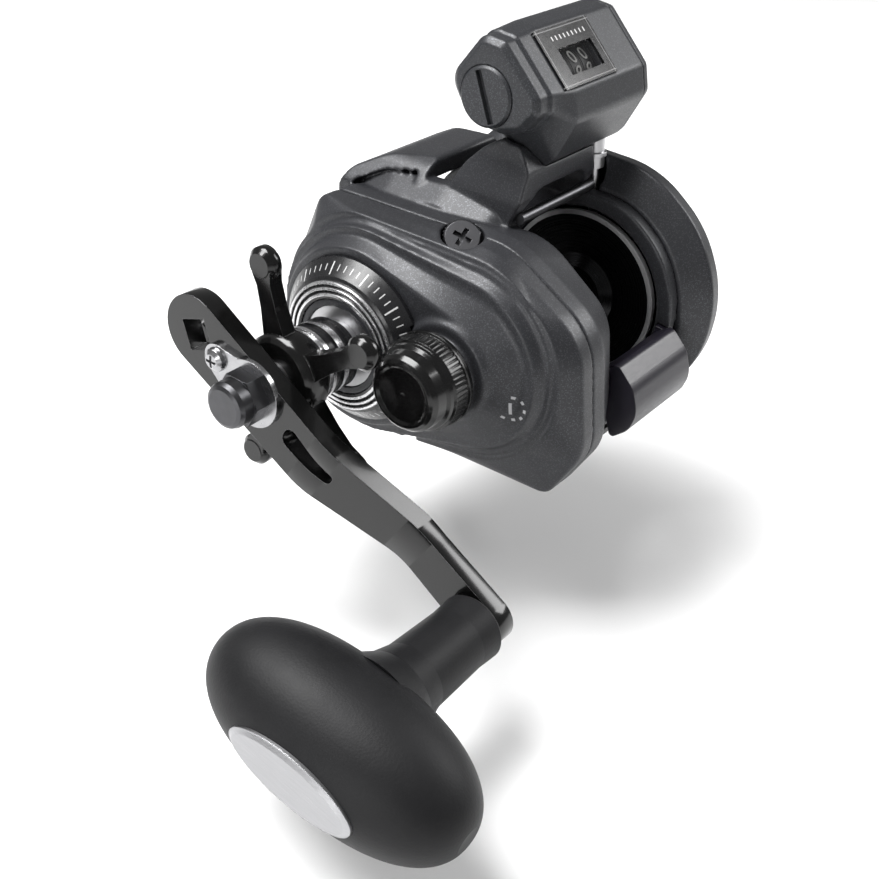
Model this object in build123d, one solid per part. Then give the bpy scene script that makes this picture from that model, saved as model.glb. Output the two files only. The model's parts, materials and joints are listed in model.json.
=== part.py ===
"""Low-profile trolling reel with a line counter, as separate pieces in their rest places.

The drawing is made about the spool: the spool's axis is the X axis, +X points to the palm
side, +Y forwards to the line guide and +Z up. The last function sets every piece on the
reel foot, so that the written origin is the middle of the foot's underside.
Outlines are (Y, Z) points, and turned profiles are (X, radius) points. All in millimetres.
"""

from build123d import *
import math
import os

# ---- Clearances ----
RUN = 0.05  # radial clearance of a shaft that turns or slides in its bore
GAP = 0.3  # between pieces that move past each other
SEAT = 0.02  # radial clearance of a piece pressed or screwed into its seat

# ---- Spool ----
FLANGE_R = 20.0
SPOOL_HALF = 13.3  # from the middle to a flange's outer face
FLANGE_T = 1.3
RIM_LIP = 0.5  # the machined rim stands this much proud of the flange
HUB_R = 7.0
SHAFT_R = 2.0
SHAFT_LEFT = -46.8
SHAFT_RIGHT = 25.4

# ---- Frame ----
WALL_IN = 12.6  # inner face of each side wall
FLANGE_GAP = 0.8  # radial gap between a flange and its ring
RING_BORE = FLANGE_R + FLANGE_GAP
POCKET_X = -15.2  # floor of the left flange pocket
LEFT_WALL = -17.8
RIGHT_WALL = 16.0
SEAM_X = -25.5  # where the gear side cover meets the frame
SKIN = 2.0  # wall of the frame's skirt and the covers
FLOOR_GAP = 1.6
FLOOR_T = 2.4
FLOOR_TOP = -(FLANGE_R + FLOOR_GAP)
FLOOR_BOTTOM = FLOOR_TOP - FLOOR_T
FLOOR_BACK = -20.0
FLOOR_FRONT = 42.5

# ---- Foot ----
FOOT_L = 60.0
FOOT_W = 18.0
FOOT_T = 2.6
FOOT_MID = 11.0  # the foot's middle lies this far ahead of the spool's axis
SPOOL_H = FOOT_T - FLOOR_BOTTOM  # spool axis above the foot's underside

# ---- Gears ----
PRESSURE = math.radians(25)
MODULE = 0.61
MAIN_TEETH = 70
PINION_TEETH = 13
WIND_MODULE = 0.5
WIND_TEETH = 30
WORM_TEETH = 18
BEVEL_MODULE = 0.6
BEVEL_TEETH = 12
BACKLASH = 0.16

# ---- Drive shaft, below and ahead of the spool's axis ----
DRIVE_ANGLE = math.radians(-4.6)
DRIVE_C = MODULE * (MAIN_TEETH + PINION_TEETH) / 2
DRIVE_Y = DRIVE_C * math.cos(DRIVE_ANGLE)
DRIVE_Z = DRIVE_C * math.sin(DRIVE_ANGLE)
DRIVE_R = 4.0
MAIN_X = (-30.5, -27.0)
PINION_X = (-34.2, -26.9)
GROOVE_X = (-36.0, -34.2)

# ---- Crank ----
CRANK_L = 65.2
CRANK_ANGLE = math.radians(212.5)
ARM_OUT = -72.0  # outer face at the hub
ARM_T = 4.5
ARM_DROP = 7.0  # the far end lies this much nearer the reel
NUT_END = -80.7
KNOB_Y = DRIVE_Y + CRANK_L * math.cos(CRANK_ANGLE)
KNOB_Z = DRIVE_Z + CRANK_L * math.sin(CRANK_ANGLE)
KNOB_ANGLE = math.radians(190)  # of the grip's long way, when at rest
KNOB_HALF_L = 30.0
KNOB_HALF_R = 14.6
GRIP_POWER = 2.3
KNOB_X = -106.5
POST_R = 3.0
NECK_R = 7.4

# ---- Star drag ----
STAR_X = (-65.2, -59.4)
STAR_R = 28.0
STAR_ARMS = 5
STAR_FIRST = math.radians(3.7)

# ---- Cast control cap ----
CAP_X = (-55.3, -44.2)
CAP_R = 10.4
NECK_X = -46.0
SCREW_R = 8.0

# ---- Level wind ----
WORM_C = WIND_MODULE * (WIND_TEETH + WORM_TEETH) / 2
WORM_ANGLE = math.radians(20)
WORM_Y = DRIVE_Y + WORM_C * math.cos(WORM_ANGLE)
WORM_Z = DRIVE_Z + WORM_C * math.sin(WORM_ANGLE)
WORM_R = 3.3
TUBE_R = 4.9
TUBE_IN = 3.9
EYE_R = 2.5
EYE_Z = 10.5

# ---- Line counter ----
COUNTER_Y = 5.8
COUNTER_Z = 52.6
COUNTER_X = (-14.0, 20.6)
LIFT_X = 17.9  # upright counter shaft
LIFT_ANGLE = math.atan2(COUNTER_Z, COUNTER_Y)
LIFT_R = 1.2
BEVEL_R = BEVEL_MODULE * BEVEL_TEETH / 2
BEVEL_FACE = 1.3
WHEEL_R = 6.0
WHEEL_W = 3.8
WHEEL_GAP = 0.3
WHEEL_FIRST = -5.0
AXLE_R = 1.2
DISC_Y = 9.8
DISC_Z = 51.6
DISC_R = 6.4

# ---- Clutch ----
THUMB_TRAVEL = 4.5
THUMB_ANGLE = math.radians(190)
YOKE_T = 1.3
YOKE_TRAVEL = 1.9
POST_SPREAD = 7.9

# ---- Outlines of the housings: (Y, Z) corners with their radii ----
FRAME_LEFT = [(45.5, 24.0), (-4.0, 25.0), (-26.0, 12.0), (-29.8, -14.0), (-22.0, -27.5), (45.5, -29.5)]
FRAME_LEFT_R = [4, 20, 16, 12, 3.5, 6]
FRAME_INNER = [(44.6, 22.6), (-5.5, 23.2), (-22.4, 11.0), (-25.2, -9.0), (-15.0, -25.2), (44.6, -26.0)]
FRAME_INNER_R = [4, 18, 12, 10, 4, 6]
COVER_RIM = [
    (45.2, 23.6), (51.6, 6.8), (51.6, -13.0), (41.0, -28.6),
    (-22.0, -27.5), (-29.8, -14.0), (-26.0, 12.0), (-4.0, 25.0),
]
COVER_RIM_R = [4, 14, 16, 14, 3.5, 12, 16, 20]
SHOULDER = [(44.6, 16.0), (43.6, 25.6), (35.0, 27.6), (19.0, 28.8), (5.0, 26.2), (1.0, 16.0)]
SHOULDER_R = [1, 3, 10, 16, 6, 1]

FRAME_RIGHT_R = [20, 22, 22, 22, 12, 8, 10, 10, 12]

PALM_RIM_R = [26, 29, 29, 29, 12, 10, 12, 12, 14]
COUNTER = [
    (12.5, 65.0), (6.5, 64.3), (-4.2, 53.6), (-5.6, 47.5),
    (-0.8, 37.6), (4.2, 34.0), (13.5, 41.0), (19.6, 54.0),
]
COUNTER_RADII = [3, 2, 2.5, 3, 3, 2.5, 8, 5]
BARREL = [
    (12.5, 64.6), (6.5, 63.9), (-3.2, 54.2), (-3.6, 50.4),
    (0.4, 45.4), (6.0, 43.8), (14.8, 44.8), (20.6, 53.6),
]
BARREL_RADII = [4, 2, 2.5, 3, 3.5, 4, 6, 5]

# bearings, guard rod, thumb tabs and the screws of the frame
BEARING_R = 5.0
DRIVE_BEARING_R = 5.5
BUSH_R = 3.4
GUARD_R = 1.2
GUARD_Y = 1.6
GUARD_Z = 25.8
TAB_OUT = 1.6
TAB_W = 2.2
TAB_L = 5.0
TAB_RADIUS = 22.8
YOKE_POST_R = 1.2
SCREW_SHANK = 1.0
SCREW_BOSS = 2.4
PALM_SCREWS = [(36.0, 12.0), (36.5, -17.0), (-11.0, -21.4)]
COVER_SCREWS = [(40.0, 18.2), (-18.9, -13.6)]
COVER_SEAT = -14.6
FOOT_SCREWS = [(-6.0, -10.0), (6.0, -10.0), (-6.0, 30.0), (6.0, 30.0)]

# ---- Covers ----
BOSS_FACE = -40.2
BOSS_END = -45.6
BOSS_CORE = 11.2
ROLLER_R = 9.4
ROLLER_X = (-45.2, -38.6)
SLEEVE_R = 6.4
DIAL_R = 19.2
NOSE_R = 11.6

# knurled screw of the gear side cover
KNURL_R = 4.3
KNURL_H = 4.6
KNURL_ROOM = 5.0  # depth of the hole for its shank
KNURL_PLACE = Pos(-24.4, 9.4, 20.8) * Rot(Y=-38) * Rot(X=25)

# palm side cover, along the spool's axis
PALM_SEAT = 24.0
PALM_IN = 16.2
PALM_OUT = 30.5

# ---- Small root pieces ----
POST_BORE = LIFT_R + RUN

# ---- Spool ----
SHAFT_THIN = 1.6
PIN_X = -23.0
PIN_R = 0.75
WORM_END = 1.8

# ---- Gear train ----
PINION_TAIL = 2.9
PINION_PHASE = 0.0

# drag washers
WASHER_R = 13.4
WASHER_T = 0.8

# one-way sleeve on the drive shaft
SLEEVE_START = -35.8
SLEEVE_END = -47.0

# level wind gear
WIND_X = (-20.6, -18.6)

# crank arm: its outline along and across the arm, and its openings
ARM_SHAPE = [
    (-26.4, -5.6), (-26.4, 11.4), (22.0, 8.4), (46.0, 5.4), (71.2, 5.6), (71.2, -5.8), (46.0, -4.8),
    (20.0, -6.2),
]
ARM_ROUND = [8.0, 8.2, 40, 40, 5.4, 5.4, 60, 60]
HOLE_AT = 17.4
HOLE_SIDE = 6.8
SLOT_FROM = 10.5
SLOT_TO = 24.5
LOCK_AT = 10.3

# lock plate
LOCK_T = 1.1

# knob bushes
BUSH_WALL = 1.2

# badge on the knob
BADGE_L = 29.0
BADGE_H = 12.5

KNURLS = 60

# ---- Thumb bar ----
THUMB = [
    (-21.9, -2.8), (-25.8, -0.2), (-30.4, -4.8), (-32.2, -10.4), (-30.6, -15.2), (-26.4, -18.8),
    (-23.6, -10.5),
]
THUMB_ROUND = [0.6, 1.6, 6, 7, 5, 1.0, 8]

# ---- Line counter ----
SLOPE = math.atan2(COUNTER[1][1] - COUNTER[2][1], COUNTER[1][0] - COUNTER[2][0])
LABEL_W = 20.0
LABEL_L = 13.6
LABEL_T = 0.6
WINDOW_X = (-5.4, 7.2)
WINDOW_L = 6.2

CARTRIDGE_R = 4.6
CARTRIDGE_X = (7.6, 12.6)
AXLE_END = -10.6

BUTTON_R = 2.2
BUTTON_AT = (1.0, 48.6)
BUTTON_TRAVEL = 1.2


def met(lines):
    """Corners where a closed run of lines meet, each line given by its normal's angle and its distance."""
    corners = []
    for (a, p), (b, q) in zip(lines, lines[1:] + lines[:1]):
        a, b = math.radians(a), math.radians(b)
        det = math.sin(b - a)
        corners.append(
            ((p * math.sin(b) - q * math.sin(a)) / det, (q * math.cos(a) - p * math.cos(b)) / det)
        )
    return corners


def twin(rear, front):
    """An outline round two circles: one on the spool's axis and one on the drive shaft's."""
    lean = math.degrees(math.acos((rear - front) / DRIVE_C))
    base = math.degrees(DRIVE_ANGLE)
    top, bottom = base + lean, base - lean
    angles = [(top, 1), (135, 0), (180, 0), (225, 0), (bottom, 1), (315, 1), (0, 1), (45, 1)]
    lines = []
    for angle, ahead in angles:
        a = math.radians(angle)
        lines.append((angle, front + DRIVE_Y * math.cos(a) + DRIVE_Z * math.sin(a) if ahead else rear))
    corners = met(lines)
    # start at the front's top corner, as the other outlines do
    corners = [
        corners[7], corners[6], corners[5], corners[4], corners[3], corners[2], corners[1],
        corners[0],
    ]
    return corners, [0.94 * front] * 4 + [0.94 * rear] * 4


COVER_BAND, COVER_BAND_R = twin(23.4, 26.2)
COVER_STEP, COVER_STEP_R = twin(19.8, 24.4)
COVER_FACE, COVER_FACE_R = twin(11.8, 20.8)
FRAME_RIGHT = met(
    [
        (92, 24.4), (127, 24.6), (155, 24.6), (182, 24.6), (215, 24.6), (270, 23.8), (325, 45.0),
        (0, 43.8), (45, 41.5),
    ]
)
PALM_RIM = met(
    [
        (92, 31.4), (127, 31.2), (155, 31.2), (182, 31.2), (215, 31.2), (270, 27.8), (325, 47.0),
        (0, 46.0), (45, 44.5),
    ]
)


# ---- Ways of making solids ----
def rod(x0, x1, radius, y=0.0, z=0.0):
    """A cylinder along X."""
    return Pos(min(x0, x1), y, z) * extrude(Plane.YZ * Circle(radius), amount=abs(x1 - x0))


def ring(x0, x1, outer, inner, y=0.0, z=0.0):
    """A cylinder along X with a bore."""
    return rod(x0, x1, outer, y, z) - rod(x0 - 1, x1 + 1, inner, y, z)


def turned(profile, y=0.0, z=0.0):
    """A solid turned about a line along X, from (x, radius) corners."""
    face = make_face(Polyline(*profile, close=True))
    return Pos(0, y, z) * revolve(face, Axis.X, 360)


def block(x0, x1, y0, y1, z0, z1):
    """A box between two corners."""
    return Pos((x0 + x1) / 2, (y0 + y1) / 2, (z0 + z1) / 2) * Box(x1 - x0, y1 - y0, z1 - z0)


def grown(points, radii, by):
    """The outline moved outwards by a distance, with its corner radii to match."""
    count = len(points)
    area = sum(
        points[i][0] * points[(i + 1) % count][1] - points[(i + 1) % count][0] * points[i][1]
        for i in range(count)
    )
    side = 1 if area > 0 else -1
    moved, rounds = [], []
    for i, (y, z) in enumerate(points):
        ay, az = points[i - 1]
        by_, bz = points[(i + 1) % count]
        uy, uz = y - ay, z - az
        vy, vz = by_ - y, bz - z
        u, v = math.hypot(uy, uz), math.hypot(vy, vz)
        uy, uz, vy, vz = uy / u, uz / u, vy / v, vz / v
        turn = uy * vz - uz * vy
        # both edges' outward normals, added so that each edge moves by the same distance
        ny, nz = side * (uz + vz), side * -(uy + vy)
        share = by / (1 + uy * vy + uz * vz)
        moved.append((y + ny * share, z + nz * share))
        rounds.append(max(radii[i] + (by if turn * side > 0 else -by), 0.2))
    return moved, rounds


def outline(points, radii, x, by=0.0):
    """A rounded face across X."""
    moved, rounds = grown(points, radii, by)
    corners = [(x, y, z) for y, z in moved]
    return make_face(FilletPolyline(*corners, radius=rounds, close=True))


def plate(points, radii, x0, x1, by=0.0):
    """A rounded outline with thickness along X."""
    return extrude(outline(points, radii, min(x0, x1), by), amount=abs(x1 - x0), dir=(1, 0, 0))


def taper(points, radii, x0, by0, x1, by1, others=None, other_radii=None):
    """A solid that passes straight from one outline to another along X."""
    last = outline(others or points, other_radii or radii, x1, by1)
    return loft([outline(points, radii, x0, by0), last], ruled=True)


def side_prism(points, radii, y0, y1):
    """A rounded outline of (X, Z) points with thickness along Y."""
    corners = [(x, y0, z) for x, z in points]
    return extrude(
        make_face(FilletPolyline(*corners, radius=radii, close=True)), amount=y1 - y0, dir=(0, 1, 0),
    )


def arm_point(along, across):
    """A point on the crank: along from the drive shaft to the knob, across towards the front."""
    c, s = math.cos(CRANK_ANGLE), math.sin(CRANK_ANGLE)
    return DRIVE_Y + along * c - across * s, DRIVE_Z + along * s + across * c


def involute(angle):
    return math.tan(angle) - angle


def gear_points(teeth, module, phase, scale=1.0):
    """The outline of a spur gear with stub teeth, thinned for backlash."""
    pitch = module * teeth / 2
    base = pitch * math.cos(PRESSURE)
    root, tip = pitch - module, pitch + 0.8 * module
    half = math.pi / (2 * teeth) - BACKLASH / (4 * pitch)
    radii = [root] + [
        r for r in (base, (base + pitch) / 2, pitch, (pitch + tip) / 2, tip) if r > root + 0.02
    ]
    flank = [(r, half + involute(PRESSURE) - involute(math.acos(min(1.0, base / r)))) for r in radii]
    points = []
    for tooth in range(teeth):
        centre = phase + 2 * math.pi * tooth / teeth
        sides = [(r, centre - a) for r, a in flank] + [(r, centre + a) for r, a in reversed(flank)]
        points += [(scale * r * math.cos(a), scale * r * math.sin(a)) for r, a in sides]
    return points


def gear(x0, x1, teeth, module, phase, y, z, bore):
    """A spur gear about a line along X."""
    corners = [(x0, a, b) for a, b in gear_points(teeth, module, phase)]
    body = extrude(make_face(Polyline(*corners, close=True)), amount=x1 - x0, dir=(1, 0, 0))
    return Pos(0, y, z) * (body - rod(x0 - 1, x1 + 1, bore))


def mesh_phase(teeth, phase, other_teeth, direction):
    """The phase of a gear that meshes with another one which lies in that direction."""
    pitch = 2 * math.pi / teeth
    offset = (phase - direction + pitch / 2) % pitch - pitch / 2
    return direction + math.pi - offset * teeth / other_teeth + math.pi / other_teeth


def bevel(phase, bore):
    """A mitre gear about +X whose cone comes to a point at the origin."""
    tall = BEVEL_R
    low = BEVEL_R - BEVEL_FACE
    faces = []
    for x in (low, tall):
        corners = [(x, a, b) for a, b in gear_points(BEVEL_TEETH, BEVEL_MODULE, phase, x / tall)]
        faces.append(make_face(Polyline(*corners, close=True)))
    return loft(faces, ruled=True) - rod(low - 1, tall + 1, bore)


# ---- Frame and foot ----
def hood_profile():
    """The nose bar over the line guide, as a bent strip."""
    return [
        (46.6, 17.0), (48.4, 21.6), (46.2, 26.4), (38.3, 30.7), (27.4, 32.0),
        (26.2, 31.4), (26.4, 27.4), (28.4, 27.2), (28.8, 29.2), (37.4, 27.8),
        (43.8, 24.2), (45.2, 21.8), (44.0, 17.0),
    ]


def counter_shape(by):
    """The line counter's outside, or the same moved in or out."""
    x0, x1 = COUNTER_X
    body = plate(COUNTER, COUNTER_RADII, x0 + 7, x1, by)
    body += taper(BARREL, BARREL_RADII, x0 + 0.5, by, x0 + 7, by, COUNTER, COUNTER_RADII)
    body += plate(BARREL, BARREL_RADII, x0 - 0.6, x0 + 0.5, by)
    body += plate(BARREL, BARREL_RADII, x0 - 3.8, x0 - 0.6, by - 0.6)
    return body + taper(BARREL, BARREL_RADII, x0 - 5.0, by - 2.0, x0 - 3.8, by - 0.6)


def make_frame():
    left = taper(FRAME_LEFT, FRAME_LEFT_R, SEAM_X + 4.5, 0.0, -WALL_IN, 0.0, FRAME_INNER, FRAME_INNER_R)
    left += plate(FRAME_LEFT, FRAME_LEFT_R, SEAM_X, SEAM_X + 4.5)
    left -= plate(FRAME_LEFT, FRAME_LEFT_R, SEAM_X - 1, LEFT_WALL, -SKIN)
    left += taper(SHOULDER, SHOULDER_R, -20.5, -3.4, -16.0, 0.0) - plate(
        FRAME_LEFT, FRAME_LEFT_R, -25, LEFT_WALL, -SKIN,
    )
    left += plate(SHOULDER, SHOULDER_R, -16.0, -WALL_IN)
    left -= rod(POCKET_X, 0, RING_BORE)
    right = plate(FRAME_RIGHT, FRAME_RIGHT_R, WALL_IN, RIGHT_WALL)
    right -= rod(WALL_IN - 1, RIGHT_WALL + 1, RING_BORE)
    floor = block(-WALL_IN - 1, WALL_IN + 1, -12, FLOOR_FRONT, FLOOR_BOTTOM, FLOOR_TOP)
    back = [
        (-11, FLOOR_TOP), (-18, FLOOR_TOP + 1), (FLOOR_BACK, FLOOR_TOP - 0.4), (-19, FLOOR_BOTTOM),
        (-11, FLOOR_BOTTOM),
    ]
    floor += plate(back, [0, 0.6, 0.6, 0.6, 0], -WALL_IN - 1, WALL_IN + 1)
    # the hood arches from side to side in front view
    hood = plate(hood_profile(), [1.5, 4, 4, 12, 0.8, 0.6, 0.6, 0.6, 1, 8, 3, 3, 0.5], -20.5, 15.0)
    arch = [
        (-21, 10), (-21, 23.5), (-14.5, 30.4), (-8, 33.4), (8, 33.4), (12, 30.4), (15.5, 21.5),
        (15.5, 10),
    ]
    hood &= side_prism(arch, [0, 4, 8, 8, 8, 8, 4, 0], 20, 60)
    # the bridge stands on both walls and carries the counter on its sloping seat
    bridge = [
        (0.8, 30.0), (0.8, 35.8), (4.0, 41.0), (9.0, 41.6), (13.5, 38.5), (17.2, 34.5),
        (19.4, 29.5), (19.8, 22.5), (4, 22.5),
    ]
    bridge = plate(bridge, [0, 0.6, 2, 3, 6, 8, 6, 2, 2], -16.2, 14.2)
    arch = [(-WALL_IN, 10), (-WALL_IN, 31.4), (WALL_IN - 0.4, 31.4), (WALL_IN - 0.4, 10)]
    bridge -= side_prism(arch, [0, 6, 6, 0], -5, 25)
    sides = [
        (-17.0, 15), (-16.2, 30), (-13.6, 37), (-13.0, 46), (12.2, 46), (12.2, 36), (14.2, 30),
        (14.2, 15),
    ]
    bridge &= side_prism(sides, [0, 8, 8, 0, 0, 6, 6, 0], -5, 25)
    bridge -= counter_shape(0.04)
    # bosses in the left wall for the bearings and the worm's bush
    left += rod(LEFT_WALL - 0.4, POCKET_X, 7.0)
    left += rod(LEFT_WALL - 0.4, -WALL_IN, 7.4, DRIVE_Y, DRIVE_Z)
    left += rod(LEFT_WALL, -WALL_IN, 6.2, WORM_Y, WORM_Z)
    right += rod(WALL_IN, RIGHT_WALL, 6.2, WORM_Y, WORM_Z)
    body = left + right + floor + hood + bridge
    body -= rod(LEFT_WALL - 1, 0, RING_BORE) & block(POCKET_X, WALL_IN, -30, 30, -30, 30)
    body -= rod(LEFT_WALL - 1, -10, BEARING_R + SEAT)
    body -= rod(LEFT_WALL - 1, -10, DRIVE_BEARING_R + SEAT, DRIVE_Y, DRIVE_Z)
    for x0, x1 in ((LEFT_WALL - 1, -10), (10, RIGHT_WALL + 1)):
        body -= rod(x0, x1, BUSH_R + SEAT, WORM_Y, WORM_Z)
    # tracks for the thumb bar's tabs
    for x0, x1 in ((-WALL_IN - TAB_OUT - GAP, -WALL_IN + 1), (WALL_IN - 1, WALL_IN + TAB_OUT + GAP)):
        body -= thumb_track(x0, x1)
    # sockets for the guard rod, tapped holes for the screws and the yoke's posts
    body -= rod(-WALL_IN - 2, WALL_IN + 2, GUARD_R + SEAT, GUARD_Y, GUARD_Z)
    for y, z in PALM_SCREWS:
        body -= rod(WALL_IN + 0.8, RIGHT_WALL + 1, SCREW_SHANK + SEAT, y, z)
    for y, z in yoke_posts_at():
        body -= rod(LEFT_WALL - 1, LEFT_WALL + 1.6, YOKE_POST_R + SEAT, y, z)
    for y, z in COVER_SCREWS:
        body += rod(SEAM_X, LEFT_WALL, SCREW_BOSS, y, z)
        body -= rod(SEAM_X - 1, 0, SCREW_SHANK + SEAT, y, z)
        body -= rod(COVER_SEAT, 0, SCREW_SHANK * 1.9 + SEAT, y, z)
    for x, y in FOOT_SCREWS:
        body -= Pos(x, y, FLOOR_BOTTOM) * Cylinder(SCREW_SHANK + SEAT, 2 * FLOOR_T + 2)
    body += knurl_boss() & plate(FRAME_LEFT, FRAME_LEFT_R, SEAM_X, LEFT_WALL, -0.3)
    return body - knurl_room()


def thumb_track(x0, x1):
    """The slot that a thumb bar's tab slides down."""
    c, s = math.cos(THUMB_ANGLE), math.sin(THUMB_ANGLE)
    along = TAB_L + THUMB_TRAVEL + 2 * GAP
    slot = Box(x1 - x0, TAB_W + 2 * GAP, along)
    place = Pos((x0 + x1) / 2, TAB_RADIUS * c, TAB_RADIUS * s) * Rot(X=math.degrees(THUMB_ANGLE) - 180)
    return place * Pos(0, 0, -THUMB_TRAVEL / 2) * slot


def yoke_posts_at():
    return [(0.0, POST_SPREAD), (0.0, -POST_SPREAD)]


def make_foot():
    half_l, half_w = FOOT_L / 2, FOOT_W / 2
    corners = [
        (FOOT_MID - half_l, -half_w), (FOOT_MID + half_l, -half_w), (FOOT_MID + half_l, half_w),
        (FOOT_MID - half_l, half_w),
    ]
    plan = make_face(
        FilletPolyline(
            *[(x, y, FLOOR_BOTTOM - FOOT_T) for y, x in corners], radius=half_w * 0.9, close=True
        )
    )
    foot = extrude(plan, amount=FOOT_T, dir=(0, 0, 1))
    # the ends thin out so that the rod's hood and clamp slide over them
    thin = FOOT_T * 0.45
    for end in (-1, 1):
        tip = FOOT_MID + end * half_l
        start = FOOT_MID + end * (half_l - 11)
        wedge = [
            (start, FLOOR_BOTTOM), (tip + end, FLOOR_BOTTOM - thin * 1.1),
            (tip + end, FLOOR_BOTTOM + 1), (start, FLOOR_BOTTOM + 1),
        ]
        foot -= plate(wedge, [0, 0, 0, 0], -half_w - 1, half_w + 1)
    for x, y in FOOT_SCREWS:
        foot -= Pos(x, y, FLOOR_BOTTOM) * Cylinder(SCREW_SHANK + SEAT, 4 * FOOT_T)
        foot -= Pos(x, y, FLOOR_BOTTOM - FOOT_T) * Cone(
            2.1 + SEAT, SCREW_SHANK + SEAT, 1.1, align=(Align.CENTER, Align.CENTER, Align.MIN),
        )
    return foot


def make_foot_screws():
    screws = []
    for x, y in FOOT_SCREWS:
        low = FLOOR_BOTTOM - FOOT_T
        head = Pos(x, y, low) * Cone(2.1, SCREW_SHANK, 1.1, align=(Align.CENTER, Align.CENTER, Align.MIN))
        shank = Pos(x, y, low + 1) * Cylinder(
            SCREW_SHANK, FLOOR_T + FOOT_T - 1.3, align=(Align.CENTER, Align.CENTER, Align.MIN),
        )
        slot = block(x - 1.5, x + 1.5, y - 0.25, y + 0.25, low - 1, low + 0.5)
        screws.append(head + shank - slot)
    return screws


def cover_stack(inset, shift):
    """The gear side's stepped shape, or the same shape shrunk for its inside."""
    rim = plate(COVER_RIM, COVER_RIM_R, SEAM_X, -29.5 + shift, -inset)
    band = taper(
        COVER_RIM, COVER_RIM_R, -29.5 + shift, -inset, -34.0 + shift, -inset, COVER_BAND,
        COVER_BAND_R,
    )
    step = taper(
        COVER_BAND, COVER_BAND_R, -33.1 + shift, -inset - 1.6, -36.4 + shift, -inset, COVER_STEP,
        COVER_STEP_R,
    )
    face = taper(
        COVER_STEP, COVER_STEP_R, -35.7 + shift, -inset - 1.4, BOSS_FACE + shift, -inset,
        COVER_FACE, COVER_FACE_R,
    )
    return rim, band, step, face


def make_gear_side_cover():
    rim, band, step, face = cover_stack(0.0, 0.0)
    groove = plate(
        COVER_BAND, COVER_BAND_R, -35, -33.4, 0.5,
    ) - plate(COVER_BAND, COVER_BAND_R, -36, -32, -1.2)
    body = rim + band - groove + step + face
    # inside: open to the frame's skirt, with a lip closing the part ahead of the frame
    hollow = plate(FRAME_LEFT, FRAME_LEFT_R, SEAM_X - 1.2, SEAM_X + 1, -SKIN)
    inside = cover_stack(SKIN, SKIN)
    hollow += plate(COVER_RIM, COVER_RIM_R, SEAM_X - 1.2, -29.5 + SKIN, -SKIN)
    body -= hollow + inside[1] + inside[2] + inside[3]
    # boss of the drive shaft, with the roller bearing's seat
    body += rod(BOSS_END, BOSS_FACE + SKIN, BOSS_CORE, DRIVE_Y, DRIVE_Z)
    body += rod(BOSS_FACE + 0.1, -36.4, BOSS_CORE, DRIVE_Y, DRIVE_Z)
    body -= ring(BOSS_FACE - 1, BOSS_FACE + 0.3, DIAL_R + SEAT, BOSS_CORE, DRIVE_Y, DRIVE_Z)
    body -= rod(BOSS_END - 1, -36.8, ROLLER_R + SEAT, DRIVE_Y, DRIVE_Z)
    body -= rod(-37.0, -34, SLEEVE_R + 0.6, DRIVE_Y, DRIVE_Z)
    # boss of the spool's axis, with the cap's threaded neck and the pinion's bearing
    body += turned([
        (-38.3, 4.2), (-38.3, NOSE_R - 0.4), (-40.4, NOSE_R), (-41.4, NOSE_R - 1), (-41.4, SCREW_R),
        (NECK_X, SCREW_R), (NECK_X, 4.2),
    ])
    body -= rod(-42.5, -39.8, BEARING_R + SEAT)
    body -= rod(NECK_X - 1, -36, 4.2)
    # drain slot low down, and the seat of the knurled screw on top
    body -= block(-34.6, -30.4, 12.0, 15.5, -40, -20)
    body += knurl_boss() & plate(COVER_RIM, COVER_RIM_R, -29.4, SEAM_X, -0.3)
    body -= knurl_room()
    body -= rod(MAIN_X[0] - GAP, SEAM_X, MODULE * (MAIN_TEETH / 2 + 1) + GAP, DRIVE_Y, DRIVE_Z)
    for y, z in COVER_SCREWS:
        body += rod(SEAM_X, -31.0, SCREW_BOSS, y, z) & (rim + band)
        body -= rod(-29.2, SEAM_X + 1, SCREW_SHANK + SEAT, y, z)
    for y, z in yoke_posts_at():
        body -= rod(-39.2, -30, YOKE_POST_R + SEAT, y, z)
    return body


def knurl_boss():
    return KNURL_PLACE * Pos(0, 0, -4.6) * Cylinder(
        KNURL_R + 1.6, 12, align=(Align.CENTER, Align.CENTER, Align.MIN),
    )


def knurl_room():
    """What the knurled screw needs: a pocket for its head and a hole for its shank."""
    pocket = Pos(0, 0, -0.6) * Cylinder(KNURL_R + 0.4, 16, align=(Align.CENTER, Align.CENTER, Align.MIN))
    hole = Pos(0, 0, -KNURL_ROOM) * Cylinder(
        SCREW_SHANK * 1.5 + SEAT, KNURL_ROOM, align=(Align.CENTER, Align.CENTER, Align.MIN),
    )
    return KNURL_PLACE * (pocket + hole)


def make_knurled_screw():
    """The knurled cover screw, with a cross recess in its domed head."""
    head = Cylinder(KNURL_R, KNURL_H, align=(Align.CENTER, Align.CENTER, Align.MIN))
    head = chamfer(head.edges().group_by(Axis.Z)[-1], 0.6)
    notch = Pos(KNURL_R, 0, 0) * Cylinder(0.3, 2 * KNURL_H + 2)
    for step in range(30):
        head -= Rot(Z=12 * step) * notch
    recess = Pos(0, 0, KNURL_H) * (Box(4.2, 1.0, 2.4) + Box(1.0, 4.2, 2.4))
    shank = Pos(0, 0, -4) * Cylinder(SCREW_SHANK * 1.5, 4.2, align=(Align.CENTER, Align.CENTER, Align.MIN))
    return KNURL_PLACE * Pos(0, 0, -0.5) * (head - recess + shank)


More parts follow.
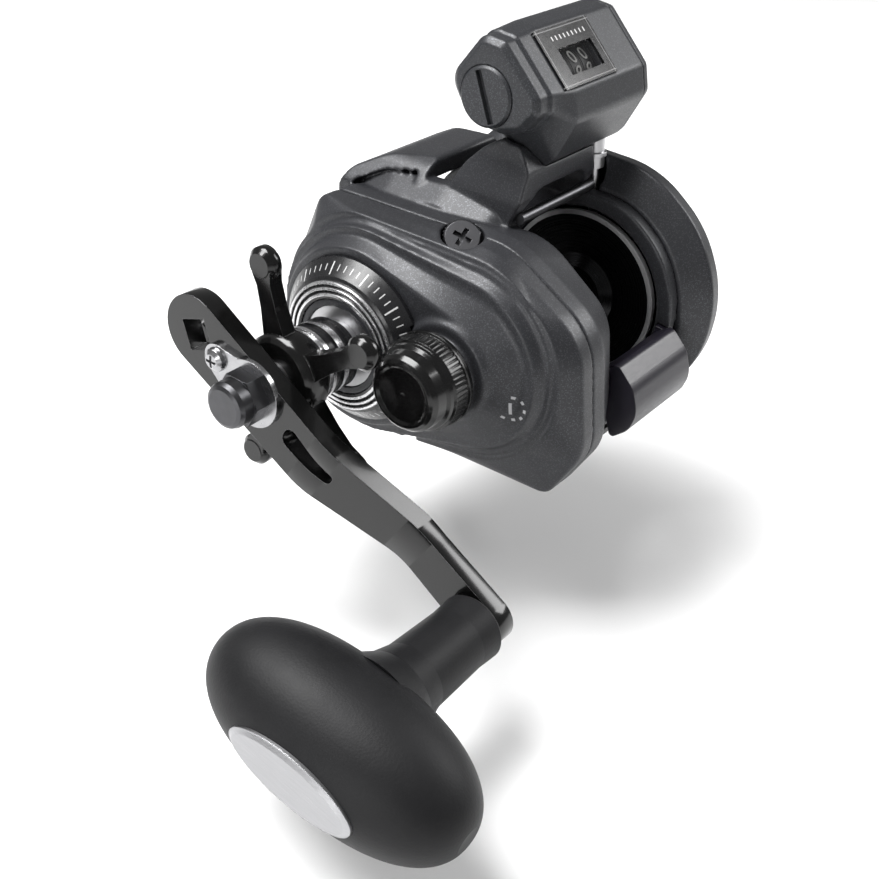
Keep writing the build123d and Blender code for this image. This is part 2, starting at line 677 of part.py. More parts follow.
def make_cover_screws():
    """Flush screws of both side covers."""
    screws = []
    for y, z in COVER_SCREWS:
        head = COVER_SEAT + 1.5
        screw = rod(COVER_SEAT, head, SCREW_SHANK * 1.9, y, z) + rod(
            -29.0, COVER_SEAT + 0.1, SCREW_SHANK, y, z,
        )
        screws.append(screw - block(head - 0.6, head + 0.1, y - 1.3, y + 1.3, z - 0.25, z + 0.25))
    for y, z in PALM_SCREWS:
        screw = rod(PALM_SEAT, PALM_SEAT + 1.6, 1.9, y, z) + rod(
            WALL_IN + 1.2, PALM_SEAT + 0.1, SCREW_SHANK, y, z,
        )
        screws.append(
            screw - block(PALM_SEAT + 1.0, PALM_SEAT + 1.7, y - 1.3, y + 1.3, z - 0.25, z + 0.25)
        )
    return screws


def make_dial():
    """The black ring round the drive boss: a sloping band and three bright ridges."""
    profile = [
        (BOSS_FACE + 0.3, BOSS_CORE + SEAT), (BOSS_FACE + 0.3, DIAL_R), (-41.0, DIAL_R), (-44.6, 15.9),
        (-45.0, 15.2), (-45.8, 14.9), (-45.8, 14.5), (-45.3, 14.2), (-45.9, 13.6), (-45.9, 13.2),
        (-45.4, 12.9), (-46.0, 12.3), (-46.0, 11.9), (-45.7, BOSS_CORE + SEAT),
    ]
    dial = turned(profile, DRIVE_Y, DRIVE_Z)
    # it makes room for the cap's boss and the cap
    return dial - rod(-41.5, -38, NOSE_R + SEAT) - rod(-50, -41.4, CAP_R + 0.2 + GAP)


def palm_stack(inset, shift):
    lead = taper(FRAME_RIGHT, FRAME_RIGHT_R, PALM_IN, 0.6 - inset, 20.5, -inset, PALM_RIM, PALM_RIM_R)
    side = taper(PALM_RIM, PALM_RIM_R, 20.5, -inset, 24.5 - shift, -0.6 - inset)
    dome = taper(PALM_RIM, PALM_RIM_R, 24.5 - shift, -0.6 - inset, 28.6 - shift, -3.6 - inset)
    cap = taper(PALM_RIM, PALM_RIM_R, 28.6 - shift, -3.6 - inset, PALM_OUT - shift, -8.8 - inset)
    return lead + side + dome + cap


def make_palm_side_cover():
    body = palm_stack(0.0, 0.0) - palm_stack(SKIN, SKIN)
    body -= rod(PALM_IN - 1, PALM_IN + 1.5, RING_BORE)
    # boss of the spool's right bearing
    body += rod(22.2, PALM_OUT - 1, BEARING_R + 1.6)
    body -= rod(20, 25.6, BEARING_R + SEAT)
    for y, z in PALM_SCREWS:
        body += rod(PALM_IN, PALM_OUT, SCREW_BOSS + 0.8, y, z) & palm_stack(0.05, 0.0)
        body -= rod(PALM_IN - 1, 40, SCREW_SHANK + SEAT, y, z)
        body -= rod(PALM_SEAT, 40, 2.1, y, z)
    # the upright counter shaft leaves through the top
    body -= lift_rod(20, 45, POST_BORE + 1.5 + SEAT)
    return body


def lift_rod(low, high, radius):
    """A cylinder on the upright counter shaft's line, between two distances from the spool."""
    shaft = Pos(0, 0, low) * Cylinder(radius, high - low, align=(Align.CENTER, Align.CENTER, Align.MIN))
    return Pos(LIFT_X, 0, 0) * Rot(X=math.degrees(LIFT_ANGLE) - 90) * shaft


def make_counter_post():
    collar = lift_rod(31.6, 32.6, POST_BORE + 1.5)
    return lift_rod(29.0, 37.4, POST_BORE + 1.0) + collar - lift_rod(20, 50, POST_BORE)


def bearing(x0, x1, outer, inner, y=0.0, z=0.0):
    """A shielded ball bearing as one turned ring with its shields set in."""
    mid = (outer + inner) / 2
    rim = (outer - inner) * 0.22
    dip = 0.25
    profile = [
        (x0, inner), (x0, inner + rim), (x0 + dip, inner + rim + 0.1), (x0 + dip, outer - rim),
        (x0, outer - rim), (x0, outer), (x1, outer), (x1, outer - rim), (x1 - dip, outer - rim),
        (x1 - dip, mid), (x1 - dip, inner + rim), (x1, inner + rim), (x1, inner),
    ]
    return turned(profile, y, z)


def make_ball_bearings():
    return [
        bearing(LEFT_WALL + 0.2, POCKET_X - 0.1, BEARING_R, SHAFT_R + RUN),
        bearing(22.9, 25.5, BEARING_R, SHAFT_THIN + RUN),
        bearing(-42.4, -39.9, BEARING_R, PINION_TAIL + RUN),
        bearing(LEFT_WALL, -14.8, DRIVE_BEARING_R, DRIVE_R + RUN, DRIVE_Y, DRIVE_Z),
    ]


def make_roller_bearing():
    """The one-way roller bearing, with its roller pockets."""
    shell = ring(ROLLER_X[0], ROLLER_X[1], ROLLER_R, SLEEVE_R + RUN, DRIVE_Y, DRIVE_Z)
    for k in range(8):
        a = 2 * math.pi * k / 8
        r = SLEEVE_R + 1.1
        shell -= rod(
            ROLLER_X[0] + 1, ROLLER_X[1] - 1, 0.8, DRIVE_Y + r * math.cos(a),
            DRIVE_Z + r * math.sin(a),
        )
    return shell


def make_guard_rod():
    return rod(-WALL_IN - 1.8, WALL_IN + 1.8, GUARD_R, GUARD_Y, GUARD_Z)


def make_shield():
    """The slotted tube that the worm turns in and the line guide slides on."""
    tube = ring(-WALL_IN + 0.1, WALL_IN - 0.1, TUBE_R, TUBE_IN, WORM_Y, WORM_Z)
    tube -= block(-11.2, 11.2, WORM_Y - 1.6, WORM_Y + 1.6, WORM_Z - 10, WORM_Z)
    return tube


def make_worm_bushes():
    left = ring(LEFT_WALL, -WALL_IN - 0.05, BUSH_R, WORM_END + RUN, WORM_Y, WORM_Z)
    right = ring(WALL_IN + 0.05, RIGHT_WALL, BUSH_R, WORM_END + RUN, WORM_Y, WORM_Z)
    return [left, right]


def make_yoke_posts():
    return [rod(-39.1, LEFT_WALL + 1.5, YOKE_POST_R, y, z) for y, z in yoke_posts_at()]


def make_spool():
    inner = SPOOL_HALF - FLANGE_T
    profile = [
        (-SPOOL_HALF, 12), (-SPOOL_HALF, 18.4), (-SPOOL_HALF - RIM_LIP + 0.3, 18.8), (
            -SPOOL_HALF - RIM_LIP + 0.3, FLANGE_R,
        ),
        (-inner - 0.2, FLANGE_R), (-inner, 18.8), (-inner, HUB_R + 1.5), (-inner + 1.5, HUB_R),
        (inner - 1.5, HUB_R), (inner, HUB_R + 1.5), (inner, 18.8), (inner + 0.2, FLANGE_R),
        (
            SPOOL_HALF + RIM_LIP - 0.3, FLANGE_R,
        ), (SPOOL_HALF + RIM_LIP - 0.3, 18.8), (SPOOL_HALF, 18.4), (SPOOL_HALF, 12),
        (inner + 0.3, 10), (inner - 4, HUB_R - 2.6), (inner - 4, SHAFT_R), (-inner + 4, SHAFT_R), (
            -inner + 4, HUB_R - 2.6,
        ), (-inner - 0.3, 10),
    ]
    body = turned(profile)
    # the line pin on the hub
    body += Pos(5.5, 0, 0) * Rot(X=140) * Pos(0, 0, HUB_R - 0.3) * Cylinder(
        0.6, 1.6, align=(Align.CENTER, Align.CENTER, Align.MIN),
    )
    return body


def make_spool_shaft():
    profile = [
        (SHAFT_LEFT, 0), (SHAFT_LEFT + 0.4, SHAFT_R - 0.3), (SHAFT_LEFT + 0.8, SHAFT_R),
        (13.6, SHAFT_R), (13.6, SHAFT_THIN), (SHAFT_RIGHT, SHAFT_THIN), (SHAFT_RIGHT, 0),
    ]
    return turned(profile) - Pos(PIN_X, 0, 0) * Cylinder(PIN_R, 20)


def make_spool_pin():
    return Pos(PIN_X, 0, 0) * Cylinder(PIN_R, 7.4)


def make_spool_bevel():
    gear_solid = bevel(math.pi - LIFT_ANGLE, SHAFT_THIN)
    return Pos(LIFT_X, 0, 0) * Rot(Z=180) * gear_solid


def main_phase():
    return mesh_phase(PINION_TEETH, PINION_PHASE, MAIN_TEETH, DRIVE_ANGLE)


def make_pinion():
    body = gear(PINION_X[0], PINION_X[1], PINION_TEETH, MODULE, PINION_PHASE, 0, 0, 1)
    body += rod(PINION_X[1], -21.9, 3.5)
    body += rod(
        GROOVE_X[0], GROOVE_X[1], 2.6,
    ) + rod(-37.4, GROOVE_X[0], 3.6) + rod(-42.3, -37.4, PINION_TAIL)
    body -= rod(-50, -10, SHAFT_R + RUN)
    # jaw slot that the spool's cross pin drops into
    body -= block(PIN_X - PIN_R - GAP, -20, -PIN_R - 0.2, PIN_R + 0.2, -5, 5)
    return body


def make_yoke():
    """The fork that slides the pinion out of the spool's pin."""
    x1 = (GROOVE_X[0] + GROOVE_X[1]) / 2 + YOKE_T / 2
    half = POST_SPREAD + YOKE_POST_R + 1.1
    arm = [(-5.0, -half), (2.2, -half), (2.2, half), (-5.0, half)]
    body = plate(arm, [2.3, 2.0, 2.0, 2.3], x1 - YOKE_T, x1)
    body -= rod(x1 - 2, x1 + 1, 2.6 + RUN + 0.1)
    body -= block(x1 - 2, x1 + 1, 0, 4, -2.75, 2.75)
    for y, z in yoke_posts_at():
        body -= rod(x1 - 2, x1 + 1, YOKE_POST_R + RUN, y, z)
    return body


def make_yoke_springs():
    """Two coil springs on the yoke's posts."""
    x1 = (GROOVE_X[0] + GROOVE_X[1]) / 2 - YOKE_T / 2
    springs = []
    for y, z in yoke_posts_at():
        coil = Helix(pitch=0.75, height=2.0, radius=1.65)
        wire = sweep(Plane(origin=coil @ 0, z_dir=coil % 0) * Circle(0.18), path=coil)
        springs.append(Pos(x1 - 0.2, y, z) * Rot(Y=-90) * wire)
    return springs


def make_drive_shaft():
    profile = [
        (-13.2, 0), (-13.2, DRIVE_R), (
            ARM_OUT + ARM_T + 0.6, DRIVE_R,
        ), (ARM_OUT + ARM_T + 0.6, 3.4), (ARM_OUT - LOCK_T + 0.2, 3.4),
        (ARM_OUT - LOCK_T + 0.2, 2.6), (NUT_END + 2.2, 2.6), (NUT_END + 1.8, 2.2), (NUT_END + 1.8, 0),
    ]
    shaft = turned(profile, DRIVE_Y, DRIVE_Z)
    shaft += ring(-21.9, -20.7, 5.6, 2, DRIVE_Y, DRIVE_Z)
    return shaft


def make_main_gear():
    wheel = gear(MAIN_X[0], MAIN_X[1], MAIN_TEETH, MODULE, main_phase(), DRIVE_Y, DRIVE_Z, DRIVE_R + RUN)
    wheel -= ring(MAIN_X[0] - 1, MAIN_X[0] + 1.0, 13.8, DRIVE_R, DRIVE_Y, DRIVE_Z)
    wheel -= ring(MAIN_X[1] - 1.0, MAIN_X[1] + 1, 19.2, 7.5, DRIVE_Y, DRIVE_Z)
    for k in range(6):
        a = math.pi / 3 * k
        wheel -= rod(
            MAIN_X[0] - 1, MAIN_X[1] + 1, 1.6, DRIVE_Y + 16.5 * math.cos(a),
            DRIVE_Z + 16.5 * math.sin(a),
        )
    return wheel


def make_drag_washers():
    """Three friction and metal washers stacked in the main gear's recess."""
    start = MAIN_X[0] + 1.0
    return [
        ring(
            start - WASHER_T * (k + 1), start - WASHER_T * k, WASHER_R, DRIVE_R + RUN, DRIVE_Y,
            DRIVE_Z,
        ) for k in range(3)
    ]


def stack_end():
    return MAIN_X[0] + 1.0 - 3 * WASHER_T


def make_pressure_plate():
    x = stack_end()
    profile = [(x, DRIVE_R + RUN), (x, 12.8), (x - 1.1, 12.8), (x - 1.6, 9), (x - 1.6, DRIVE_R + RUN)]
    return turned(profile, DRIVE_Y, DRIVE_Z)


def make_spring_washers():
    """A pair of cupped washers between the plate and the sleeve."""
    x = stack_end() - 1.6
    first = [(x, DRIVE_R + RUN), (x - 0.5, DRIVE_R + RUN), (x - 1.3, 8.4), (x - 0.8, 8.4)]
    second = [(x - 2.1, DRIVE_R + RUN), (x - 1.6, DRIVE_R + RUN), (x - 1.35, 8.4), (x - 1.85, 8.4)]
    return [turned(first, DRIVE_Y, DRIVE_Z), turned(second, DRIVE_Y, DRIVE_Z)]


def make_one_way_sleeve():
    return ring(SLEEVE_END, SLEEVE_START, SLEEVE_R, DRIVE_R + RUN, DRIVE_Y, DRIVE_Z)


def make_spacer():
    """The banded sleeve between the drive boss and the star."""
    r = 7.6
    profile = [(SLEEVE_END, DRIVE_R + RUN), (SLEEVE_END, r - 0.6)]
    x = SLEEVE_END
    for width, rise in (
        (1.6, -0.6), (1.0, 0.5), (2.4, 0.0), (1.0, 0.6), (2.6, 0.1), (1.0, 0.8), (1.6, 0.3),
    ):
        profile += [(x, r + rise), (x - width, r + rise)]
        x -= width
    profile += [(x, DRIVE_R + RUN)]
    profile.pop(1)
    return turned(profile, DRIVE_Y, DRIVE_Z)


def make_ratchet():
    """The toothed wheel that throws the clutch back in when the crank turns."""
    points = []
    for k in range(8):
        for share, r in ((0.0, 9.0), (0.82, 7.0)):
            a = 2 * math.pi * (k + share) / 8
            points.append((-23.2, r * math.cos(a), r * math.sin(a)))
    wheel = extrude(make_face(Polyline(*points, close=True)), amount=1.2, dir=(1, 0, 0))
    return Pos(0, DRIVE_Y, DRIVE_Z) * (wheel - rod(-30, -20, DRIVE_R + RUN))


def make_wind_gear():
    return gear(WIND_X[0], WIND_X[1], WIND_TEETH, WIND_MODULE, 0.0, DRIVE_Y, DRIVE_Z, DRIVE_R + RUN)


def make_worm_gear():
    phase = mesh_phase(WIND_TEETH, 0.0, WORM_TEETH, WORM_ANGLE)
    return gear(WIND_X[0], WIND_X[1], WORM_TEETH, WIND_MODULE, phase, WORM_Y, WORM_Z, WORM_END + SEAT)


def make_worm():
    """The level-wind shaft, with end journals."""
    body = rod(-12.2, 12.2, WORM_R, WORM_Y, WORM_Z) + rod(-21.4, RIGHT_WALL, WORM_END, WORM_Y, WORM_Z)
    return body


# ---- Star, crank and knob ----
def make_star():
    x0, x1 = STAR_X
    hub = turned(
        [(x1, DRIVE_R + RUN), (x1, 9.6), (x0 + 1.2, 9.6), (x0, 8.2), (x0, DRIVE_R + RUN)], DRIVE_Y,
        DRIVE_Z,
    )
    arm = [(6, -3.4), (15, -2.1), (21, -1.9), (21, 1.9), (15, 2.1), (6, 3.4)]
    place = Pos(0, DRIVE_Y, DRIVE_Z)
    tip = turned(
        [(x1 - 0.4, 0), (x1 - 0.4, 2.6), (x1 - 1.4, 3.7), (x1 - 3.2, 3.7), (x1 - 4.4, 2.6), (x1 - 4.4, 0)]
    )
    body = hub
    for k in range(STAR_ARMS):
        turn = Rot(X=math.degrees(STAR_FIRST) + 360 / STAR_ARMS * k)
        body += place * turn * (
            plate(arm, [0, 8, 0, 0, 8, 0], x1 - 4.2, x1 - 0.6) + Pos(0, STAR_R - 3.7, 0) * tip
        )
        body += place * turn * plate(
            [(20, -1.9), (23, -2.6), (23, 2.6), (20, 1.9)], [0, 0, 0, 0], x1 - 4.2, x1 - 0.6,
        )
    return body


def arm_blank():
    """The crank arm's outline, with the bend that brings its far end nearer the reel."""
    corners = [(ARM_OUT, *arm_point(a, t)) for a, t in ARM_SHAPE]
    flat = make_face(FilletPolyline(*corners, radius=ARM_ROUND, close=True))
    blank = extrude(flat, amount=ARM_T + ARM_DROP, dir=(1, 0, 0))
    bend = [
        (-40, ARM_OUT), (20, ARM_OUT), (44, ARM_OUT + ARM_DROP), (90, ARM_OUT + ARM_DROP),
        (
            90, ARM_OUT + ARM_DROP + ARM_T,
        ), (43, ARM_OUT + ARM_DROP + ARM_T), (19, ARM_OUT + ARM_T), (-40, ARM_OUT + ARM_T),
    ]
    corners = [(x, *arm_point(a, -30)) for a, x in bend]
    side = make_face(FilletPolyline(*corners, radius=[0, 24, 24, 0, 0, 20, 20, 0], close=True))
    across = (0, -math.sin(CRANK_ANGLE), math.cos(CRANK_ANGLE))
    return blank & extrude(side, amount=60, dir=across)


def make_crank_arm():
    arm = arm_blank()
    arm -= rod(ARM_OUT - 1, ARM_OUT + ARM_T + 1, 3.4 + SEAT, DRIVE_Y, DRIVE_Z)
    # the square hole of the short crank setting
    y, z = arm_point(-HOLE_AT, 2.4)
    turn = math.degrees(CRANK_ANGLE) + 38
    arm -= Pos(ARM_OUT, y, z) * Rot(X=turn) * Box(4 * ARM_T, HOLE_SIDE, HOLE_SIDE)
    # the tapered lightening slot
    corners = [
        (ARM_OUT - 1, *arm_point(a, t)) for a,
        t in ((SLOT_FROM, -2.2), (SLOT_FROM, 3.2), (SLOT_TO, 2.0), (SLOT_TO, -0.8))
    ]
    slot = make_face(FilletPolyline(*corners, radius=[2.2, 2.2, 1.2, 1.2], close=True))
    arm -= extrude(slot, amount=2 * ARM_T, dir=(1, 0, 0))
    arm -= rod(-70, -55, POST_R + SEAT, KNOB_Y, KNOB_Z)
    y, z = arm_point(-LOCK_AT, 1.2)
    arm -= rod(ARM_OUT - 1, ARM_OUT + 3.2, SCREW_SHANK * 1.3 + SEAT, y, z)
    return arm


def make_lock_plate():
    """The bright keeper that stops the crank nut from turning."""
    y, z = arm_point(-LOCK_AT, 1.2)
    a, b = arm_point(-3.0, 0.2)
    body = rod(
        ARM_OUT - LOCK_T, ARM_OUT, 7.6, DRIVE_Y, DRIVE_Z,
    ) + rod(ARM_OUT - LOCK_T, ARM_OUT, 3.4, y, z)
    corners = [
        arm_point(-LOCK_AT - 0.6, -2.1), arm_point(-LOCK_AT - 0.6, 4.5), arm_point(1.0, 7.4),
        arm_point(1.0, -7.4),
    ]
    body += plate(corners, [0.5, 0.5, 0.5, 0.5], ARM_OUT - LOCK_T, ARM_OUT)
    body -= rod(ARM_OUT - 3, ARM_OUT + 1, 3.4 + SEAT, DRIVE_Y, DRIVE_Z)
    body -= rod(ARM_OUT - 3, ARM_OUT + 1, SCREW_SHANK * 1.3 + SEAT, y, z)
    return body


def make_lock_screw():
    y, z = arm_point(-LOCK_AT, 1.2)
    x = ARM_OUT - LOCK_T
    head = turned([(x, 0), (x, 2.7), (x - 0.9, 2.5), (x - 1.6, 1.6), (x - 1.8, 0)])
    cross = Pos(x - 1.8, 0, 0) * (Box(2.0, 2.8, 0.6) + Box(2.0, 0.6, 2.8))
    return Pos(0, y, z) * (head + rod(x, ARM_OUT + 3.0, SCREW_SHANK * 1.3) - cross)


def make_crank_nut():
    x = ARM_OUT - LOCK_T
    hexagon = Plane.YZ.offset(x - 3.6) * RegularPolygon(5.9, 6)
    body = Pos(0, DRIVE_Y, DRIVE_Z) * extrude(hexagon, amount=3.6)
    cap = [
        (x - 3.2, 0), (x - 3.2, 5.1), (NUT_END + 1.4, 5.1), (NUT_END + 0.4, 4.7), (NUT_END, 3.9),
        (NUT_END, 0),
    ]
    body += turned(cap, DRIVE_Y, DRIVE_Z)
    return body - rod(NUT_END + 1.6, x + 1, 2.6 + SEAT, DRIVE_Y, DRIVE_Z)


def arm_end_x():
    return ARM_OUT + ARM_DROP


def make_knob_post():
    x = arm_end_x()
    profile = [
        (x + ARM_T, 0), (x + ARM_T, POST_R), (x, POST_R), (x, 5.2), (x - 0.5, 5.2), (x - 0.5, POST_R),
        (KNOB_X - 3, POST_R), (KNOB_X - 3, 0),
    ]
    return turned(profile, KNOB_Y, KNOB_Z)


def make_knob_bushes():
    near = arm_end_x() - 1.2
    outer = POST_R + BUSH_WALL
    first = ring(near - 6, near, outer, POST_R + RUN, KNOB_Y, KNOB_Z)
    second = ring(KNOB_X - 2.5, KNOB_X + 3.5, outer, POST_R + RUN, KNOB_Y, KNOB_Z)
    return [first, second]


def make_knob():
    """The T-bar power grip: a rounded bar across a short neck."""
    steps = 20
    side = []
    for k in range(1, steps):
        a = math.pi * k / steps
        reach = math.copysign(abs(math.cos(a)) ** (2 / GRIP_POWER), math.cos(a))
        side.append((0, KNOB_HALF_L * reach, KNOB_HALF_R * math.sin(a) ** (2 / GRIP_POWER)))
    first, last = (0, side[0][1], 0), (0, side[-1][1], 0)
    face = make_face([Spline(*side), Line(side[-1], last), Line(last, first), Line(first, side[0])])
    grip = revolve(face, Axis.Y, 360)
    grip = Pos(KNOB_X, 0, 0) * Rot(X=math.degrees(KNOB_ANGLE)) * grip
    grip -= block(KNOB_X - 2 * KNOB_HALF_R, grip_end(), -40, 40, -40, 40)
    near = arm_end_x() - 0.9
    neck = [
        (near, 0), (near, NECK_R - 0.6), (near - 0.8, NECK_R), (
            near - 6, NECK_R - 0.3,
        ), (-86, NECK_R + 0.2), (-91, NECK_R + 1.4),
        (-95, NECK_R + 3.6), (-98, NECK_R + 5.2), (-98, 0),
    ]
    grip += turned(neck)
    grip -= rod(KNOB_X - 4, near + 1, POST_R + BUSH_WALL + SEAT)
    grip -= badge_blank(SEAT, 0.9)
    return Pos(0, KNOB_Y, KNOB_Z) * grip


def grip_end():
    """Where the grip's end is cut flat for the badge."""
    return KNOB_X - KNOB_HALF_R + 0.7


def badge_blank(extra, depth):
    """The oval badge's blank, let into the grip's end."""
    x = grip_end()
    shape = Plane.YZ.offset(x - 1) * Ellipse(BADGE_L / 2 + extra, BADGE_H / 2 + extra)
    return Rot(X=math.degrees(KNOB_ANGLE)) * extrude(shape, amount=1 + depth)


def make_badge():
    x = grip_end()
    shape = Plane.YZ.offset(x) * Ellipse(BADGE_L / 2, BADGE_H / 2)
    badge = extrude(shape, amount=0.9)
    top = Plane.YZ.offset(x - 0.5) * Ellipse(BADGE_L / 2 - 1.2, BADGE_H / 2 - 1.2)
    badge += loft([Plane.YZ.offset(x) * Ellipse(BADGE_L / 2 - 0.2, BADGE_H / 2 - 0.2), top])
    return Pos(0, KNOB_Y, KNOB_Z) * Rot(X=math.degrees(KNOB_ANGLE)) * badge


# ---- Cast control cap ----
def make_cap():
    x0, x1 = CAP_X
    profile = [
        (x1, SCREW_R + RUN), (x1, CAP_R - 0.8), (
            x1 - 0.5, CAP_R + 0.2,
        ), (x1 - 1.3, CAP_R + 0.2), (x1 - 1.6, CAP_R - 0.4),
        (x1 - 2.0, CAP_R), (x1 - 5.4, CAP_R - 0.2), (x1 - 5.8, 9.7), (x1 - 6.6, 9.5), (x1 - 7.2, 8.9),
        (x0 + 1.6, 8.6), (x0 + 0.6, 7.9), (x0, 7.2), (x0, 6.6), (x0 + 0.5, 6.0), (x0 + 0.7, 0),
        (NECK_X - 1.1, 0), (NECK_X - 1.1, SCREW_R + RUN),
    ]
    cap = turned(profile)
    notch = rod(x1 - 5.6, x1 - 1.9, 0.32, CAP_R + 0.08, 0)
    for k in range(KNURLS):
        cap -= Rot(X=360 * k / KNURLS) * notch
    return cap


# ---- Level wind carriage ----
def make_line_guide():
    """The carriage on the shield tube, with the eye above it."""
    body = ring(-5, 5, TUBE_R + 1.9, TUBE_R + RUN, WORM_Y, WORM_Z)
    low = WORM_Z + TUBE_R + 0.6
    neck = [
        (WORM_Y - 1.9, low), (WORM_Y - 1.9, EYE_Z + 4.4), (WORM_Y + 2.3, EYE_Z + 4.4),
        (WORM_Y + 2.3, low),
    ]
    body += plate(neck, [0, 1, 1, 0], -4.2, 4.2)
    body -= rod(-6, 6, TUBE_R + RUN, WORM_Y, WORM_Z)
    eye = Pos(0, WORM_Y, EYE_Z) * Rot(Z=90)
    body -= eye * rod(-9, 9, EYE_R + 0.9 + SEAT)
    body -= eye * (rod(-9, -1.9, EYE_R + 1.2 + SEAT) + rod(2.3, 9, EYE_R + 1.2 + SEAT))
    # barrel of the pawl under the tube
    body += Pos(0, WORM_Y, WORM_Z - TUBE_R - 0.6) * Cylinder(
        3.0, 4.6, align=(Align.CENTER, Align.CENTER, Align.MAX),
    )
    body -= Pos(0, WORM_Y, WORM_Z) * Cylinder(1.5 + RUN, 30, align=(Align.CENTER, Align.CENTER, Align.MAX))
    return body


def make_eye():
    """The hard ring that the line runs through."""
    y0, y1 = WORM_Y - 2.4, WORM_Y + 2.8
    profile = [
        (y0, EYE_R + 0.5), (y0, EYE_R + 1.2), (y0 + 0.5, EYE_R + 0.9), (y1 - 0.5, EYE_R + 0.9),
        (y1, EYE_R + 1.2), (y1, EYE_R + 0.5), (y1 - 0.8, EYE_R), (y0 + 0.8, EYE_R),
    ]
    return Pos(0, 0, EYE_Z) * Rot(Z=90) * turned(profile)


def make_pawl():
    """The pawl that follows the worm, closed in by its cap."""
    top = WORM_Z - WORM_R - 0.2
    low = WORM_Z - TUBE_R - 0.6 - 4.6
    pin = Pos(0, WORM_Y, top) * Cylinder(1.5, top - low, align=(Align.CENTER, Align.CENTER, Align.MAX))
    cap = Pos(0, WORM_Y, low) * Cylinder(2.8, 1.0, align=(Align.CENTER, Align.CENTER, Align.MAX))
    return pin + cap


def make_thumb_bar():
    """The clutch bar between the side walls: a thin shell with closed ends and a tab on each."""
    half = WALL_IN - GAP - 0.1
    body = plate(THUMB, THUMB_ROUND, -half, half)
    hollow = plate(THUMB, THUMB_ROUND, -half + 1.5, half - 1.5, -1.5)
    body -= hollow
    body -= Pos(0, 2.2, -0.4) * hollow
    c, s = math.cos(THUMB_ANGLE), math.sin(THUMB_ANGLE)
    for side in (-1, 1):
        place = Pos(side * (half + (TAB_OUT - 0.2) / 2), TAB_RADIUS * c, TAB_RADIUS * s)
        body += place * Rot(X=math.degrees(THUMB_ANGLE) - 180) * Box(TAB_OUT + 0.6, TAB_W, TAB_L)
    return body


def on_slope(x, along, up):
    """A frame on the counter's display face: local X to the right, local Y up the slope."""
    (y1, z1), (y0, z0) = COUNTER[1], COUNTER[2]
    mid_y, mid_z = (y0 + y1) / 2, (z0 + z1) / 2
    c, s = math.cos(SLOPE), math.sin(SLOPE)
    origin = (x, mid_y + along * c - up * s, mid_z + along * s + up * c)
    return Plane(origin=origin, x_dir=(1, 0, 0), z_dir=(0, -s, c))


def window_along():
    """How far up the slope the window's middle lies: over the wheels' axis."""
    (y1, z1), (y0, z0) = COUNTER[1], COUNTER[2]
    dy, dz = COUNTER_Y - (y0 + y1) / 2, COUNTER_Z - (z0 + z1) / 2
    return dy * math.cos(SLOPE) + dz * math.sin(SLOPE)


def make_counter_housing():
    x0, x1 = COUNTER_X
    body = counter_shape(0.0)
    body -= plate(COUNTER, COUNTER_RADII, x0 + 7.4, x1 + 1, -1.9)
    body -= plate(BARREL, BARREL_RADII, x0 - 2.0, x0 + 7.5, -2.2)
    body -= rod(x0 - 9, x0 - 2, DISC_R + SEAT, DISC_Y, DISC_Z)
    # recess of the label and the window through the wall
    body -= on_slope(0, 0, 0) * Pos(0, 0, -0.3) * extrude(
        Rectangle(LABEL_W + 0.1, LABEL_L + 0.1), amount=5,
    )
    mid = sum(WINDOW_X) / 2
    body -= on_slope(mid, window_along(), 0) * Box(WINDOW_X[1] - WINDOW_X[0], WINDOW_L, 8)
    # webs that hold the axle and the reduction cartridge
    body += plate(BARREL, BARREL_RADII, x0 + 3.0, x0 + 4.4, -2.1)
    body -= rod(x0 + 2, x0 + 5, AXLE_R + SEAT, COUNTER_Y, COUNTER_Z)
    body += plate(COUNTER, COUNTER_RADII, 8.6, 10.4, -1.8)
    body -= rod(8, 11, CARTRIDGE_R + SEAT, COUNTER_Y, COUNTER_Z)
    body -= lift_rod(25, 47, POST_BORE + 1.0 + SEAT)
    return body


def make_counter_axle():
    return rod(AXLE_END, CARTRIDGE_X[0] + 1.0, AXLE_R, COUNTER_Y, COUNTER_Z)


def make_cartridge():
    """The closed reduction gearbox that the upright shaft drives."""
    case = rod(CARTRIDGE_X[0], CARTRIDGE_X[1], CARTRIDGE_R, COUNTER_Y, COUNTER_Z)
    case -= rod(CARTRIDGE_X[0] - 1, CARTRIDGE_X[0] + 1.1, AXLE_R + SEAT, COUNTER_Y, COUNTER_Z)
    return case - rod(CARTRIDGE_X[1] - 1.6, CARTRIDGE_X[1] + 1, AXLE_R + RUN, COUNTER_Y, COUNTER_Z)


def make_counter_cap():
    x1 = COUNTER_X[1]
    cap = taper(COUNTER, COUNTER_RADII, x1 + GAP / 2, -0.1, x1 + 2.4, -0.5)
    cap += taper(COUNTER, COUNTER_RADII, x1 + 2.4, -0.5, x1 + 3.8, -1.7)
    cap += taper(COUNTER, COUNTER_RADII, x1 + 3.8, -1.7, x1 + 4.5, -3.4)
    cap -= plate(COUNTER, COUNTER_RADII, x1 - 1, x1 + 3.5, -2.3)
    cap -= rod(x1, x1 + 9, BUTTON_R + RUN, *BUTTON_AT)
    return cap


def make_button():
    """The counter's reset button."""
    x1 = COUNTER_X[1] + 4.5
    cap = [
        (x1 - 2.8, 0), (x1 - 2.8, BUTTON_R + 0.6), (x1 - 1.3, BUTTON_R + 0.6), (x1 - 1.3, BUTTON_R),
        (x1 + 0.9, BUTTON_R), (x1 + 1.4, BUTTON_R - 0.6), (x1 + 1.5, 0),
    ]
    return turned(cap, *BUTTON_AT)


